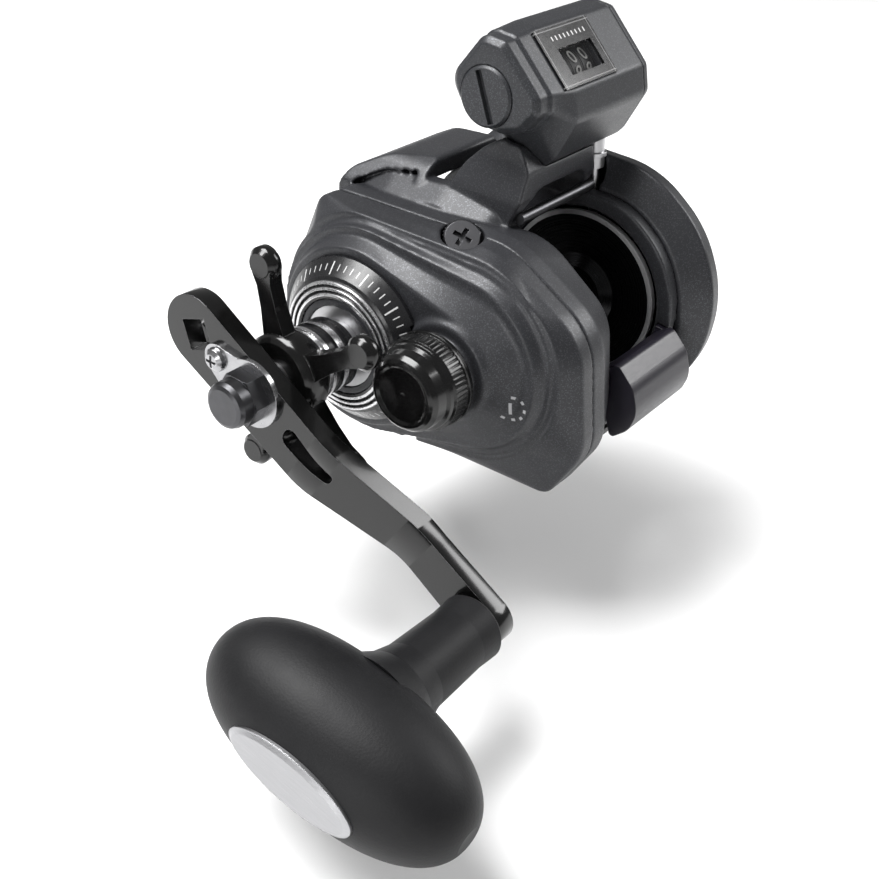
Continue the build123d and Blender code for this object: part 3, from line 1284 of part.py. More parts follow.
def make_plug():
    x0 = COUNTER_X[0]
    body = turned(
        [(x0 - 2.2, 0), (x0 - 2.2, DISC_R), (x0 - 5.0, DISC_R), (x0 - 5.5, DISC_R - 0.5), (x0 - 5.5, 0)],
        DISC_Y, DISC_Z,
    )
    slot = Pos(x0 - 5.5, DISC_Y, DISC_Z) * Rot(X=-22) * Box(2.4, 1.5, 2 * DISC_R - 1.6)
    return body - slot


def make_label():
    panel = on_slope(0, 0, 0) * Pos(0, 0, -0.3 + LABEL_T / 2) * Box(LABEL_W, LABEL_L, LABEL_T)
    mid = sum(WINDOW_X) / 2
    return panel - on_slope(mid, window_along(), 0) * Box(WINDOW_X[1] - WINDOW_X[0], WINDOW_L, 4)


def make_window():
    mid = sum(WINDOW_X) / 2
    pane = Box(WINDOW_X[1] - WINDOW_X[0] - 0.1, WINDOW_L - 0.1, 0.5)
    return on_slope(mid, window_along(), 0) * Pos(0, 0, -0.35) * pane


def make_wheel(index):
    """A number wheel with a shallow track between its two rims."""
    x = WHEEL_FIRST + index * (WHEEL_W + WHEEL_GAP)
    profile = [
        (x, AXLE_R + RUN), (x, WHEEL_R), (x + 0.3, WHEEL_R), (x + 0.3, WHEEL_R - 0.1), (
            x + WHEEL_W - 0.3, WHEEL_R - 0.1,
        ),
        (x + WHEEL_W - 0.3, WHEEL_R), (x + WHEEL_W, WHEEL_R), (x + WHEEL_W, AXLE_R + RUN),
    ]
    wheel = turned(profile, COUNTER_Y, COUNTER_Z)
    for k in range(10):
        a = 2 * math.pi * k / 10
        wheel -= rod(x - 1, x + 0.5, 0.45, COUNTER_Y + 4.4 * math.cos(a), COUNTER_Z + 4.4 * math.sin(a))
    return wheel


def lift_length():
    return math.hypot(COUNTER_Y, COUNTER_Z)


def make_lift_shaft():
    """The upright shaft between the spool and the counter, a mitre gear on each end."""
    upright = Pos(LIFT_X, 0, 0) * Rot(X=math.degrees(LIFT_ANGLE) - 90)
    body = lift_rod(BEVEL_R - 0.6, lift_length() - BEVEL_R + 0.6, LIFT_R)
    lower = Rot(Z=0) * Rot(Y=-90) * bevel(math.pi / BEVEL_TEETH, LIFT_R - 0.2)
    body += upright * lower
    top = Pos(0, 0, lift_length()) * Rot(Y=90) * bevel(math.pi / BEVEL_TEETH, LIFT_R - 0.2)
    return body + upright * top


def make_input_bevel():
    """The counter's input gear and its short shaft into the reduction cartridge."""
    wheel = Rot(Z=180) * bevel(math.pi - LIFT_ANGLE, 0.5) + rod(
        -(LIFT_X - CARTRIDGE_X[1]) - 1.4, -BEVEL_R + BEVEL_FACE, AXLE_R,
    )
    return Pos(LIFT_X, COUNTER_Y, COUNTER_Z) * wheel


# ---- All nodes ----
def make_all():
    nodes = {
        "frame": make_frame(),
        "reel_foot": make_foot(),
        "foot_screws": make_foot_screws(),
        "gear_side_cover": make_gear_side_cover(),
        "drive_boss_ring": make_dial(),
        "knurled_cover_screw": make_knurled_screw(),
        "cover_screws": make_cover_screws(),
        "palm_side_cover": make_palm_side_cover(),
        "counter_post": make_counter_post(),
        "ball_bearings": make_ball_bearings(),
        "one_way_bearing": make_roller_bearing(),
        "guard_rod": make_guard_rod(),
        "levelwind_tube": make_shield(),
        "worm_bushes": make_worm_bushes(),
        "yoke_posts": make_yoke_posts(),
        "spool": make_spool(),
        "spool_shaft": make_spool_shaft(),
        "spool_cross_pin": make_spool_pin(),
        "spool_bevel_gear": make_spool_bevel(),
        "pinion": make_pinion(),
        "clutch_yoke": make_yoke(),
        "yoke_springs": make_yoke_springs(),
        "drive_shaft": make_drive_shaft(),
        "main_gear": make_main_gear(),
        "drag_washers": make_drag_washers(),
        "drag_pressure_plate": make_pressure_plate(),
        "spring_washers": make_spring_washers(),
        "one_way_sleeve": make_one_way_sleeve(),
        "spacer_sleeve": make_spacer(),
        "clutch_ratchet": make_ratchet(),
        "levelwind_drive_gear": make_wind_gear(),
        "worm_gear": make_worm_gear(),
        "worm_shaft": make_worm(),
        "star_drag": make_star(),
        "crank_arm": make_crank_arm(),
        "lock_plate": make_lock_plate(),
        "lock_plate_screw": make_lock_screw(),
        "crank_nut": make_crank_nut(),
        "knob_post": make_knob_post(),
        "knob_bushes": make_knob_bushes(),
        "knob_grip": make_knob(),
        "knob_badge": make_badge(),
        "cast_control_cap": make_cap(),
        "line_guide": make_line_guide(),
        "line_guide_eye": make_eye(),
        "levelwind_pawl": make_pawl(),
        "thumb_bar": make_thumb_bar(),
        "counter_housing": make_counter_housing(),
        "counter_axle": make_counter_axle(),
        "counter_reduction": make_cartridge(),
        "counter_end_cap": make_counter_cap(),
        "counter_reset_button": make_button(),
        "counter_plug": make_plug(),
        "counter_label": make_label(),
        "counter_window": make_window(),
        "counter_lift_shaft": make_lift_shaft(),
        "counter_input_gear": make_input_bevel(),
    }
    for index, name in enumerate(("wheel_hundreds", "wheel_tens", "wheel_units")):
        nodes[name] = make_wheel(index)
    return nodes


def write(nodes):
    """Set the pieces on the foot and write each one."""
    os.makedirs("parts", exist_ok=True)
    place = Pos(0, -FOOT_MID, SPOOL_H)
    for name, made in nodes.items():
        solids = []
        for piece in made if isinstance(made, list) else [made]:
            solids += piece.solids()
        moved = [place * solid for solid in solids]
        export_step(moved[0] if len(moved) == 1 else Compound(children=moved), f"parts/{name}.step")


if __name__ == "__main__":
    write(make_all())
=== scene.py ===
# %% [markdown]
# # A trolling reel with a line counter
# The reel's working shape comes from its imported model: every piece is already in its place, in metres,
# with the middle of the foot's underside at the origin. X runs along the spool to the palm side, Y runs
# forwards and Z is up. This lesson gives each piece its finish, softens the cast housings, and adds the
# figures on the number wheels. Nothing here moves a piece of the mechanism.

import json
import math

import bmesh
import bpy
from mathutils import Matrix, Vector


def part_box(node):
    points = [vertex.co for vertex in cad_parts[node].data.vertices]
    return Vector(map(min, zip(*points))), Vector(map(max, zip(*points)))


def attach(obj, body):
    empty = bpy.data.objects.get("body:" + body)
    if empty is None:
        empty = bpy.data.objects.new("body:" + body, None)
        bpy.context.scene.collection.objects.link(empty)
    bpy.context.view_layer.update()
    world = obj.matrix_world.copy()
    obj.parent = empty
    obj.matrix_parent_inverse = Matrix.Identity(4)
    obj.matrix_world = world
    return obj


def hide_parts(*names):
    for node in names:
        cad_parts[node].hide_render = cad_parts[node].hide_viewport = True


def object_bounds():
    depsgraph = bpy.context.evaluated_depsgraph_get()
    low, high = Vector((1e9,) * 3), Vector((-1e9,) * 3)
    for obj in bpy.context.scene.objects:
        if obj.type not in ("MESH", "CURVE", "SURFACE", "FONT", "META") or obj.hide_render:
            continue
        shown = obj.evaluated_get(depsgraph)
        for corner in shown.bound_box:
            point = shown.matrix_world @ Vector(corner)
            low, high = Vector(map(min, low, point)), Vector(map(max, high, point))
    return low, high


MM = 0.001

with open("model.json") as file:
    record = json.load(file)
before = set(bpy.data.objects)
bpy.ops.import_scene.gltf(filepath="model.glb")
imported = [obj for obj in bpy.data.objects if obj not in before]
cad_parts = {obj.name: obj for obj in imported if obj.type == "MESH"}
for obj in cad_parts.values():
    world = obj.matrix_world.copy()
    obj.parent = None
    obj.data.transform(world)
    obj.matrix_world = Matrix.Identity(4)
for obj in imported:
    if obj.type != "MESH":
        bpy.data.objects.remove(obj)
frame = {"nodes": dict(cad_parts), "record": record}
reel_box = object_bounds()


def middle(node):
    """The middle of a node's box."""
    low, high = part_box(node)
    return (Vector(low) + Vector(high)) / 2


body_of_node = {}
for body, names in frame["record"]["behaviour"]["bodies"].items():
    for name in names:
        body_of_node[name] = body

SPOOL = middle("spool")
DRIVE = middle("drive_shaft")
KNOB = middle("knob_post")
print("spool axis", [round(c / MM, 2) for c in SPOOL], "drive axis", [round(c / MM, 2) for c in DRIVE])


# %% [markdown]
# ## Camera, floor and light
# The reel is dark and much of it is glossy, so its shapes show through what they reflect. Large soft
# panels give broad highlights with soft ends, and a pale room fills the rest. The reel is shown as if held
# by its foot, so the floor lies a little below its lowest point, the knob.

# %% Camera
CAMERA_PLACE = (-0.2336, -0.1484, 0.1616)
HEADING, TILT, ROLL = (math.radians(angle) for angle in (-54.56, 57.24, 4.05))
FOCAL_LENGTH, SENSOR_WIDTH = 52.76, 36.0

turn = Matrix.Rotation(HEADING, 4, "Z") @ Matrix.Rotation(TILT, 4, "X") @ Matrix.Rotation(ROLL, 4, "Z")
lens = bpy.data.cameras.new("camera")
lens.lens, lens.sensor_width = FOCAL_LENGTH, SENSOR_WIDTH
camera = bpy.data.objects.new("camera", lens)
camera.matrix_world = Matrix.Translation(CAMERA_PLACE) @ turn
bpy.context.scene.collection.objects.link(camera)
bpy.context.scene.camera = camera
print("camera looks along", [round(c, 3) for c in turn @ Vector((0, 0, -1))])


# %% Floor and light
FLOOR_GAP = 0.012
FLOOR_HALF = 3.0
ROOM_LIGHT = 0.26
AIM = (0, 0, 0.02)
# each panel's name, place, aim, size in metres and power in watts
PANELS = (
    ("key", (-0.30, 0.30, 0.85), AIM, 0.55, 17.5),
    ("side", (0.60, -0.45, 0.50), AIM, 0.40, 5),
    ("front", (-0.80, -0.10, 0.16), (-0.03, 0, 0.02), 0.22, 1.3),
)


def make_object(name, mesh):
    """An object at the origin, in the scene."""
    thing = bpy.data.objects.new(name, mesh)
    bpy.context.scene.collection.objects.link(thing)
    return thing


def soft_panel(name, place, aim, size, power):
    """A square light that points at a spot."""
    data = bpy.data.lights.new(name, "AREA")
    data.shape, data.size, data.energy = "SQUARE", size, power
    panel = make_object(name, data)
    direction = Vector(aim) - Vector(place)
    panel.matrix_world = Matrix.Translation(place) @ direction.to_track_quat("-Z", "Y").to_matrix().to_4x4()
    return panel


ground = bmesh.new()
bmesh.ops.create_grid(ground, x_segments=1, y_segments=1, size=FLOOR_HALF)
floor_mesh = bpy.data.meshes.new("floor")
ground.to_mesh(floor_mesh)
ground.free()
floor_mesh.transform(Matrix.Translation((0, 0, reel_box[0][2] - FLOOR_GAP)))
floor = make_object("floor", floor_mesh)

room = bpy.data.worlds.new("room")
room.use_nodes = True
backdrop = room.node_tree.nodes["Background"]
backdrop.inputs["Color"].default_value = (1, 1, 1, 1)
backdrop.inputs["Strength"].default_value = ROOM_LIGHT
bpy.context.scene.world = room
for panel in PANELS:
    soft_panel(*panel)
bpy.context.scene.view_settings.view_transform = "Standard"
print("panels:", [panel[0] for panel in PANELS])


# %% [markdown]
# ## Writing a finish as sums
# A finish is a node graph. Node by node it is long to build, so one small class wraps a socket and turns
# Python's + - * % ** into Math nodes, and one method adds every other node. A value that is the same all
# over a piece is set straight on the shader.

# %% The wire and the finish
class Wire:
    """A socket that can be added, multiplied and raised to a power."""

    def __init__(self, finish, socket):
        self.finish, self.socket = finish, socket

    def maths(self, operation, other=0.0, swap=False):
        """A Math node on this socket and another value."""
        pair = (other, self) if swap else (self, other)
        return self.finish.node("ShaderNodeMath", {"operation": operation}, *pair)

    def __add__(self, other):
        return self.maths("ADD", other)

    def __sub__(self, other):
        return self.maths("SUBTRACT", other)

    def __rsub__(self, other):
        return self.maths("SUBTRACT", other, True)

    def __mul__(self, other):
        return self.maths("MULTIPLY", other)

    def __mod__(self, other):
        return self.maths("FLOORED_MODULO", other)

    def __abs__(self):
        return self.maths("ABSOLUTE")

    def __pow__(self, other):
        return self.maths("POWER", other)

    __radd__, __rmul__ = __add__, __mul__


class Finish:
    """A material with a Principled shader, whose uniform values are set by name."""

    def __init__(self, name, **uniform):
        self.material = bpy.data.materials.new(name)
        self.material.use_nodes = True
        self.tree = self.material.node_tree
        self.shader = self.tree.nodes["Principled BSDF"]
        for key, value in uniform.items():
            self.shader.inputs[key.replace("_", " ").title().replace("Ior", "IOR")].default_value = value

    def join(self, value, socket):
        """Links a wire to a socket, or sets a plain value on it."""
        if isinstance(value, Wire):
            self.tree.links.new(value.socket, socket)
        elif value is not None:
            socket.default_value = value

    def node(self, kind, settings=None, *values, out=0, **named):
        """Adds a node: settings first, then its sockets in order or by name."""
        made = self.tree.nodes.new(kind)
        for key, value in (settings or {}).items():
            setattr(made, key, value)
        for socket, value in zip(made.inputs, values):
            self.join(value, socket)
        for key, value in named.items():
            self.join(value, made.inputs[key])
        return Wire(self, made.outputs[out])

    def feed(self, **links):
        """Links varying values into the shader."""
        for key, value in links.items():
            self.join(value, self.shader.inputs[key.replace("_", " ")])

    def place(self, centre=(0, 0, 0)):
        """Object coordinates in millimetres from a point of the reel."""
        where = self.node("ShaderNodeTexCoord", out="Object")
        back = [-c / MM for c in centre]
        return self.node(
            "ShaderNodeMapping", {"vector_type": "POINT"}, Vector=where, Location=back, Scale=(1 / MM,) * 3
        )

    def parts(self, vector):
        """The three numbers of a vector."""
        split = self.tree.nodes.new("ShaderNodeSeparateXYZ")
        self.join(vector, split.inputs[0])
        return [Wire(self, out) for out in split.outputs]

    def noise(self, vector, scale, detail=3.0, rough=0.55):
        """A soft random value, with its scale per millimetre."""
        sizes = {"Scale": scale, "Detail": detail, "Roughness": rough}
        return self.node("ShaderNodeTexNoise", None, Vector=vector, **sizes)

    def stretched(self, vector, scale):
        """A vector made longer or shorter along each axis."""
        return self.node("ShaderNodeMapping", None, Vector=vector, Scale=scale)

    def round_axis(self, centre):
        """How far along X a point lies from a centre, and how far out from the axis through it."""
        x, y, z = self.parts(self.place(centre))
        return x, (y * y + z * z) ** 0.5

    def mix(self, share, first, second):
        """Blends two colours."""
        made = self.tree.nodes.new("ShaderNodeMix")
        made.data_type = "RGBA"
        for index, value in ((0, share), (6, first), (7, second)):
            if isinstance(value, tuple) and len(value) == 3:
                value = (*value, 1)
            self.join(value, made.inputs[index])
        return Wire(self, made.outputs[2])

    def band(self, value, low, high, soft=0.05):
        """One between two limits and nothing outside, with soft ends."""
        smooth = {"interpolation_type": "SMOOTHSTEP"}
        up = self.node("ShaderNodeMapRange", smooth, value, low - soft, low + soft)
        down = self.node("ShaderNodeMapRange", smooth, value, high - soft, high + soft)
        return up * (1 - down)

    def bump(self, height, strength=0.3, depth=0.1, normal=None):
        """Raises the surface by a height, with the depth in millimetres."""
        sizes = {"Strength": strength, "Distance": depth * MM}
        return self.node("ShaderNodeBump", None, Height=height, Normal=normal, **sizes)

    def edges(self, radius=0.25):
        """A normal that rounds sharp corners over a small radius in millimetres."""
        return self.node("ShaderNodeBevel", {"samples": 4}, radius * MM)


def dress(finish, *names):
    """Gives nodes, or pieces that stand in for them, a finish."""
    for name in names:
        thing = frame["nodes"][name] if isinstance(name, str) else name
        thing.data.materials.clear()
        thing.data.materials.append(finish.material)


# %% [markdown]
# ## Softened castings
# Die-cast housings have no sharp corners. Each casting is copied, remeshed into an even skin of small
# faces and smoothed, which rounds every edge by a few tenths of a millimetre and leaves the shape where
# it was. The copy rides on the same body and stands in for the node it was made from.

# %% Castings
def stand_in(piece, node):
    """Lets a piece stand for a node: the node is hidden, and the piece rides on that node's body."""
    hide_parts(node)
    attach(piece, body_of_node[node])
    return piece


def copy_of(node, merge=0.00001):
    """A copy of a node's mesh with its doubled corners joined."""
    work = bmesh.new()
    work.from_mesh(frame["nodes"][node].data)
    bmesh.ops.remove_doubles(work, verts=work.verts, dist=merge)
    shape = bpy.data.meshes.new(node + "_copy")
    work.to_mesh(shape)
    work.free()
    return shape


def applied(thing):
    """The mesh that an object's modifiers make, with the modifiers taken off."""
    graph = bpy.context.evaluated_depsgraph_get()
    result = bpy.data.meshes.new_from_object(thing.evaluated_get(graph))
    thing.modifiers.clear()
    old, thing.data = thing.data, result
    bpy.data.meshes.remove(old)
    return thing


MOST_FACES = 95000
KEPT_FACES = 90000


def cast(node, cell=0.4, rounds=4):
    """Replaces a node with a softened skin, its cells and its smoothing chosen to suit its walls."""
    thing = make_object(node + "_cast", copy_of(node))
    skin = thing.modifiers.new("skin", "REMESH")
    skin.mode, skin.voxel_size, skin.adaptivity = "VOXEL", cell * MM, 0.0
    skin.use_smooth_shade = True
    soften = thing.modifiers.new("soften", "SMOOTH")
    soften.factor, soften.iterations = 0.5, rounds
    applied(thing)
    while len(thing.data.polygons) > MOST_FACES:
        fewer = thing.modifiers.new("fewer", "DECIMATE")
        fewer.ratio = KEPT_FACES / len(thing.data.polygons)
        applied(thing)
    stand_in(thing, node)
    triangles = sum(len(face.vertices) - 2 for face in thing.data.polygons)
    print(node, "faces:", len(thing.data.polygons), "triangles:", triangles)
    return thing


def bevelled(node, width, angle, segments=2):
    """Replaces a node with a copy whose sharp edges carry a chamfer, in a second material slot."""
    thing = make_object(node + "_bevelled", copy_of(node))
    cut = thing.modifiers.new("chamfer", "BEVEL")
    cut.width, cut.segments, cut.limit_method = width * MM, segments, "ANGLE"
    cut.angle_limit, cut.material, cut.harden_normals = math.radians(angle), 1, False
    cut.use_clamp_overlap = True
    thing.data.materials.append(None)
    thing.data.materials.append(None)
    applied(thing)
    stand_in(thing, node)
    print(node, "faces:", len(thing.data.polygons))
    return thing


SHELL_CELL = 0.3
SHELL_ROUNDS = 3
castings = {node: cast(node) for node in ("frame", "gear_side_cover", "palm_side_cover")}
shells = {node: cast(node, SHELL_CELL, SHELL_ROUNDS) for node in ("counter_housing", "counter_end_cap")}

# %% [markdown]
# ## Charcoal flake paint
# The frame and covers are cast, then sprayed with a satin charcoal paint full of fine metal flake. Flakes
# are cells of a Voronoi pattern a fifth of a millimetre across: each cell has its own random value, and
# the few highest ones shine. A slow noise varies the gloss, as handling does. The gear side cover also
# carries a small printed ring of dots round a bar.

# %% Charcoal paint
FLAKES_PER_MM = 5.5
FLAKE_SHARE = 0.84
FLAKE_COLOUR = (0.10, 0.103, 0.112)
MARK = SPOOL + Vector((0, -15.3, -4.6)) * MM
MARK_R = 2.9
MARK_DOTS = 9
MARK_X = (-38.0, -34.6)
MARK_COLOUR = (0.42, 0.42, 0.43)


def turned_angle(finish, y, z):
    """The angle about X in degrees, from Y."""
    return finish.node("ShaderNodeMath", {"operation": "ARCTAN2"}, z, y) * (180 / math.pi)


def dotted_ring(finish, centre, radius, dots, between):
    """A printed ring of dots round a bar, on the faces between two places along X."""
    x, y, z = finish.parts(finish.place((0, centre.y, centre.z)))
    away = (y * y + z * z) ** 0.5
    step = 360 / dots
    dot = finish.band(turned_angle(finish, y, z) % step, step * 0.3, step * 0.7, 1.5)
    row = finish.band(away, radius - 0.32, radius + 0.32, 0.08) * dot
    bar = finish.band(abs(y), -1.0, 0.28, 0.06) * finish.band(abs(z), -1.0, 1.5, 0.06)
    return (row + bar) * finish.band(x, *between)


def flake_paint(name, base=(0.014, 0.014, 0.016), light=(0.028, 0.029, 0.033), mark=False):
    """Dark paint with fine metal flake, and with the printed mark where it is asked for."""
    paint = Finish(name, coat_weight=0.1, coat_roughness=0.25, specular_ior_level=0.4)
    spot = paint.place()
    cells = paint.node("ShaderNodeTexVoronoi", None, Vector=spot, Scale=FLAKES_PER_MM, out="Color")
    flake = paint.band(paint.parts(cells)[0], FLAKE_SHARE, 1.2, 0.08)
    slow = paint.noise(spot, 0.12, 4.0)
    grain = paint.noise(spot, 6.0, 2.0)
    colour = paint.mix(slow * 0.5 + grain * 0.5, base, light)
    colour = paint.mix(flake * 0.5, colour, FLAKE_COLOUR)
    if mark:
        printed = dotted_ring(paint, MARK, MARK_R, MARK_DOTS, MARK_X)
        colour = paint.mix(printed * (0.7 + grain * 0.3), colour, MARK_COLOUR)
    paint.feed(
        Base_Color=colour,
        Metallic=0.2 + flake * 0.4,
        Roughness=0.38 + slow * 0.14 - flake * 0.06,
        Normal=paint.bump(grain + flake * 0.4, 0.25, 0.02, paint.edges(0.3)),
    )
    return paint


charcoal = flake_paint("charcoal_paint")
shell_paint = flake_paint("counter_paint", (0.015, 0.016, 0.018), (0.028, 0.029, 0.033))
cover_paint = flake_paint("cover_paint", mark=True)
dress(charcoal, castings["frame"], castings["palm_side_cover"])
dress(cover_paint, castings["gear_side_cover"])
dress(shell_paint, "counter_plug", *shells.values())
print("printed mark at", [round(c / MM, 1) for c in MARK])


# %% [markdown]
# ## Gloss black, satin black and bare metal
# The crank arm, cast control cap and star are polished and black anodised: nearly black, with sharp
# reflections and hairline marks. Machined steel carries fine turning lines that run round its axis.

# %% Black anodising
def anodised(name, base=0.002, rough=0.12, hair=0.05):
    """Nearly black metal with faint smears and hairline marks."""
    black = Finish(name, metallic=0.0, coat_weight=0.1, coat_roughness=0.06, specular_ior_level=0.4)
    spot = black.place()
    smear = black.noise(spot, 0.25, 5.0, 0.7)
    hairs = black.noise(black.stretched(spot, (6.0, 0.8, 6.0)), 2.0, 3.0)
    black.feed(
        Base_Color=black.mix(smear, (base,) * 3, (base * 2.4,) * 3),
        Roughness=rough + smear * hair + hairs * hair,
        Normal=black.bump(hairs, 0.12, 0.01, black.edges(0.25)),
    )
    return black


gloss_black = anodised("gloss_black")
satin_black = anodised("satin_black", 0.006, 0.26, 0.12)
dress(gloss_black, "cast_control_cap")
dress(satin_black, "reel_foot", "line_guide", "counter_reset_button")


# %% Machined metal
def machined(name, colour, rough=0.22, pitch=6.0, centre=SPOOL):
    """Bare metal with turning lines round an axis along X."""
    metal = Finish(name, metallic=1.0)
    x, radius = metal.round_axis(centre)
    lines = metal.noise(metal.node("ShaderNodeCombineXYZ", None, radius * pitch, x * pitch, 0.0), 1.0, 2.0)
    stain = metal.noise(metal.place(centre), 0.4, 4.0)
    darker = tuple(c * 0.6 for c in colour)
    metal.feed(
        Base_Color=metal.mix(stain * 0.6, colour, darker),
        Roughness=rough + stain * 0.12 + lines * 0.1,
        Normal=metal.bump(lines, 0.25, 0.015, metal.edges(0.15)),
    )
    return metal


steel = machined("machined_steel", (0.55, 0.55, 0.56))
dark_steel = machined("dark_nickel", (0.09, 0.09, 0.095), 0.25)
bright = machined("polished_keeper", (0.42, 0.42, 0.43), 0.14, 2.0, DRIVE)
brass = machined("cut_brass", (0.6, 0.42, 0.16), 0.28)
alloy = machined("alloy", (0.5, 0.5, 0.51), 0.3)
STEEL_PIECES = (
    "foot_screws", "counter_post", "ball_bearings", "one_way_bearing", "yoke_posts", "counter_axle",
    "spool_shaft", "spool_cross_pin", "yoke_springs", "drive_shaft", "drag_pressure_plate",
    "spring_washers", "one_way_sleeve", "clutch_ratchet", "knob_post", "worm_shaft", "counter_lift_shaft",
)
dress(steel, *STEEL_PIECES)
dress(dark_steel, "knurled_cover_screw", "cover_screws", "guard_rod", "crank_nut")
dress(bright, "lock_plate", "lock_plate_screw")
dress(brass, "spool_bevel_gear", "pinion", "main_gear", "levelwind_pawl", "counter_input_gear")
dress(alloy, "levelwind_tube")
print("steel pieces:", len(STEEL_PIECES))

# %% [markdown]
# ## Bright chamfers
# The crank arm and the star are cut after they are blacked, so their corners show bare metal. A copy of
# each gets a bevel on its sharp corners only, and the bevel's new faces take a second, bright material.

# %% Chamfered handles
CHAMFER = 0.3
SHARP = 50
chamfer_metal = machined("bright_chamfer", (0.5, 0.5, 0.52), 0.2, 3.0, DRIVE)
for node in ("crank_arm", "star_drag"):
    handle = bevelled(node, CHAMFER, SHARP)
    for index, finish in enumerate((gloss_black, chamfer_metal)):
        handle.data.materials[index] = finish.material

# %% [markdown]
# ## Plastics, rubber and glass
# Hidden bushes are white acetal, friction washers are woven carbon, and the grip is soft rubber with a
# fine pebble. The badge on the grip's end is brushed along its length.

# %% Plastics
acetal = Finish("white_acetal", roughness=0.4, subsurface_weight=0.1)
spot = acetal.place()
acetal.feed(
    Base_Color=acetal.mix(acetal.noise(spot, 1.5), (0.75, 0.73, 0.68), (0.55, 0.53, 0.48)),
    Normal=acetal.bump(acetal.noise(spot, 4.0), 0.2, 0.02),
)
ACETAL_PIECES = (
    "worm_bushes", "counter_reduction", "clutch_yoke", "levelwind_drive_gear", "knob_bushes", "worm_gear",
)
dress(acetal, *ACETAL_PIECES)

WEAVE = 1.6
carbon = Finish("carbon_washer", roughness=0.35)
x, y, z = carbon.parts(carbon.place(DRIVE))
weave = carbon.band(y % WEAVE, 0.0, WEAVE / 2) * (1 - carbon.band(z % WEAVE, 0.0, WEAVE / 2))
carbon.feed(Base_Color=carbon.mix(weave, (0.02, 0.02, 0.02), (0.08, 0.08, 0.08)))
dress(carbon, "drag_washers", "line_guide_eye")

# %% Rubber grip
NECK_LINE = (21.6, 22.2)
rubber = Finish("pebbled_rubber", specular_ior_level=0.22)
spot = rubber.place(KNOB)
pebble = rubber.node("ShaderNodeTexVoronoi", None, Vector=spot, Scale=1.9, out="Distance")
haze = rubber.noise(spot, 0.07, 5.0, 0.65)
ring_line = rubber.band(rubber.parts(spot)[0], *NECK_LINE, 0.1)
rubber.feed(
    Base_Color=rubber.mix(haze, (0.004, 0.004, 0.0045), (0.011, 0.011, 0.012)),
    Roughness=0.42 + haze * 0.2,
    Normal=rubber.bump(pebble * 0.5 - ring_line * 2.0, 0.5, 0.06),
)
dress(rubber, "knob_grip")

# %% Badge
BADGE_LEAN = math.radians(-10)
badge = Finish("brushed_badge", metallic=1.0)
along = badge.node("ShaderNodeMapping", None, Vector=badge.place(KNOB), Rotation=(BADGE_LEAN, 0, 0))
strokes = badge.noise(badge.stretched(along, (1.0, 0.15, 9.0)), 1.6, 4.0)
badge.feed(
    Base_Color=badge.mix(strokes, (0.46, 0.46, 0.47), (0.30, 0.30, 0.31)),
    Roughness=0.22 + strokes * 0.2,
    Normal=badge.bump(strokes, 0.2, 0.02, badge.edges(0.3)),
)
dress(badge, "knob_badge")

# %% Thumb bar
thumb = Finish("violet_grey_bar", coat_weight=0.15, coat_roughness=0.15, specular_ior_level=0.4)
scuff = thumb.noise(thumb.stretched(thumb.place(), (0.6, 3.0, 3.0)), 0.9, 5.0, 0.65)
thumb.feed(
    Base_Color=thumb.mix(scuff, (0.006, 0.005, 0.009), (0.015, 0.013, 0.020)),
    Roughness=0.24 + scuff * 0.25,
    Normal=thumb.bump(scuff, 0.2, 0.02, thumb.edges(0.35)),
)
dress(thumb, "thumb_bar")

# %% Spool
RIM_FROM = 18.9
spool_black = Finish("spool_finish", metallic=0.85)
x, radius = spool_black.round_axis(SPOOL)
# The bright band out from RIM_FROM is the flange's machined rim, and its bright colour is also a painted
# highlight.
machined_rim_and_highlight = spool_black.band(radius, RIM_FROM, 30.0, 0.08)
lathe = spool_black.node("ShaderNodeCombineXYZ", None, radius * 7.0, x * 3.0, 0.0)
lines = spool_black.noise(lathe, 1.0, 2.0)
spool_black.feed(
    Base_Color=spool_black.mix(machined_rim_and_highlight, (0.012, 0.012, 0.013), (0.6, 0.6, 0.61)),
    Roughness=0.2 + lines * 0.14 + machined_rim_and_highlight * 0.05,
    Normal=spool_black.bump(lines, 0.3, 0.02),
)
dress(spool_black, "spool")

# %% [markdown]
# ## Printed rings
# The boss round the drive shaft has a black band with a printed scale and three bright ridges. Distance
# and angle about the shaft pick out each mark, so the print follows the ring.

# %% Drive boss ring and spacer sleeve
RIDGES = ((14.35, 15.05), (13.1, 13.7), (11.8, 12.4))
SILVER_BANDS = ((-52.9, -50.7), (-57.2, -55.6))

dial = Finish("printed_dial")
x, y, z = dial.parts(dial.place(DRIVE))
radius = (y * y + z * z) ** 0.5
angle = turned_angle(dial, y, z)
short = dial.band(angle % 6.0, 2.6, 3.4, 0.08) * dial.band(radius, 16.9, 18.0)
long = dial.band(angle % 30.0, 14.4, 15.6, 0.08) * dial.band(radius, 16.2, 18.4)
marks = dial.node("ShaderNodeMath", {"operation": "MAXIMUM"}, short, long)
first, second, third = (dial.band(radius, *ridge, 0.05) for ridge in RIDGES)
ridges = first + second + third
wear = dial.noise(dial.place(), 0.8, 5.0)
colour = dial.mix(marks * (0.6 + wear * 0.4), (0.008, 0.008, 0.009), (0.6, 0.6, 0.6))
dial.feed(
    Base_Color=dial.mix(ridges, colour, (0.7, 0.7, 0.71)),
    Metallic=ridges,
    Roughness=0.18 + wear * 0.2,
    Normal=dial.bump(wear, 0.1, 0.02, dial.edges(0.15)),
)
dress(dial, "drive_boss_ring")

sleeve = Finish("banded_sleeve")
x = sleeve.parts(sleeve.place())[0]
near, far = (sleeve.band(x, *band) for band in SILVER_BANDS)
silver = near + far
wear = sleeve.noise(sleeve.place(), 1.2, 4.0)
sleeve.feed(
    Base_Color=sleeve.mix(silver, (0.01, 0.01, 0.011), (0.7, 0.7, 0.71)),
    Metallic=silver,
    Roughness=0.14 + wear * 0.2,
    Normal=sleeve.bump(wear, 0.15, 0.02, sleeve.edges(0.15)),
)
dress(sleeve, "spacer_sleeve")

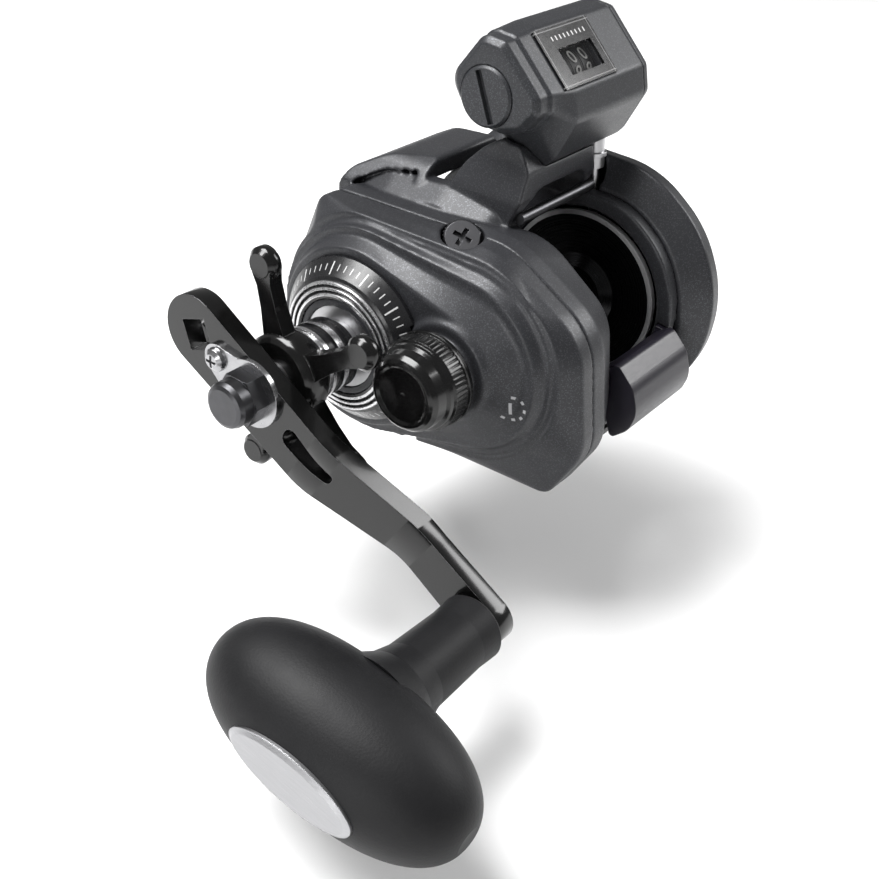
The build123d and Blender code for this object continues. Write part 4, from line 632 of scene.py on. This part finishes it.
# %% [markdown]
# ## The line counter's face
# The label is a gloss black panel with a thin border and a row of ticks, printed along its own slope. The
# window is clear, so only a little of its colour shows over the black wheels.

# %% Counter label, window and wheels
TICK_PITCH = 1.5
BORDER_ACROSS, BORDER_ALONG = (9.2, 9.45), (6.1, 6.35)

label = Finish("label_panel", coat_weight=0.3, coat_roughness=0.05)
dust = label.noise(label.place(), 0.9, 4.0)
x, y, z = label.parts(label.place(middle("counter_label")))
up_slope = (y + z) * math.sqrt(0.5)
tick = label.band((x + 30) % TICK_PITCH, 0.55, 0.95, 0.05)
ticks = tick * label.band(up_slope, 3.7, 4.7) * label.band(x, -5.6, 7.6)
border = label.band(abs(x), *BORDER_ACROSS, 0.04) + label.band(abs(up_slope), *BORDER_ALONG, 0.04)
panel_black = label.mix(dust, (0.003, 0.003, 0.003), (0.009, 0.009, 0.010))
label.feed(
    Base_Color=label.mix(ticks + border * 0.25, panel_black, (0.6, 0.6, 0.6)),
    Roughness=0.12 + dust * 0.1,
)
dress(label, "counter_label")

window = Finish("clear_window", base_color=(0.02, 0.02, 0.022, 1.0), coat_weight=0.3, coat_roughness=0.02)
haze = window.noise(window.place(), 0.5)
window.feed(Roughness=0.04 + haze * 0.05, Alpha=0.16 + haze * 0.06)
dress(window, "counter_window")

NUMBER_WHEELS = ("wheel_units", "wheel_tens", "wheel_hundreds")
wheel_black = Finish("wheel_black")
grain = wheel_black.noise(wheel_black.place(), 2.0, 3.0)
wheel_black.feed(
    Base_Color=wheel_black.mix(grain, (0.01, 0.01, 0.01), (0.025, 0.025, 0.025)),
    Roughness=0.4 + grain * 0.2,
)
dress(wheel_black, *NUMBER_WHEELS)

# %% [markdown]
# ## Figures on the wheels
# Each number wheel carries the figures 0 to 9, a tenth of a turn apart. One text curve per figure is
# made a mesh with a little thickness, stood on the wheel's rim and turned round the axle, and the ten are
# joined into one piece that rides on the wheel's body.

# %% Figures
FIGURE_H = 3.3 * MM
FIGURE_T = 0.06 * MM
FIGURE_SINK = 0.02 * MM
TEXT_PER_HEIGHT = 1.35
WHEEL_LEAN = math.radians(35)


def figure_mesh(text):
    """A raised figure, lying flat with its middle at the origin."""
    curve = bpy.data.curves.new("figure", "FONT")
    curve.body, curve.size, curve.extrude = text, FIGURE_H * TEXT_PER_HEIGHT, FIGURE_T
    curve.align_x, curve.align_y, curve.resolution_u = "CENTER", "CENTER", 4
    holder = make_object("figure_" + text, curve)
    graph = bpy.context.evaluated_depsgraph_get()
    shape = bpy.data.meshes.new_from_object(holder.evaluated_get(graph))
    bpy.data.objects.remove(holder)
    return shape


white_ink = Finish("white_ink", roughness=0.45)
blotch = white_ink.noise(white_ink.place(), 1.5)
white_ink.feed(Base_Color=white_ink.mix(blotch, (0.75, 0.75, 0.73), (0.6, 0.6, 0.58)))
for name in NUMBER_WHEELS:
    low, high = (Vector(corner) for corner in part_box(name))
    centre, radius = (low + high) / 2, (high.z - low.z) / 2
    ring = bmesh.new()
    for digit in range(10):
        shape = figure_mesh(str(digit))
        # lie along the axle, face outwards, then take this figure's place round the wheel
        stand = Matrix.Translation((0, 0, radius - FIGURE_SINK))
        about = Matrix.Rotation(WHEEL_LEAN - digit * math.tau / 10, 4, "X")
        shape.transform(Matrix.Translation(centre) @ about @ stand)
        ring.from_mesh(shape)
        bpy.data.meshes.remove(shape)
    figures = bpy.data.meshes.new(name + "_figures")
    ring.to_mesh(figures)
    ring.free()
    figures.materials.append(white_ink.material)
    piece = make_object(name + "_figures", figures)
    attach(piece, body_of_node[name])
    print(piece.name, "faces:", len(figures.polygons))

# %% [markdown]
# ## Floor
# The floor is plain and pale.

# %% Floor finish
pale = Finish("pale_floor", roughness=0.7)
pale.feed(Base_Color=pale.mix(pale.noise(pale.place(), 0.02), (0.82, 0.82, 0.82), (0.86, 0.86, 0.86)))
floor.data.materials.append(pale.material)
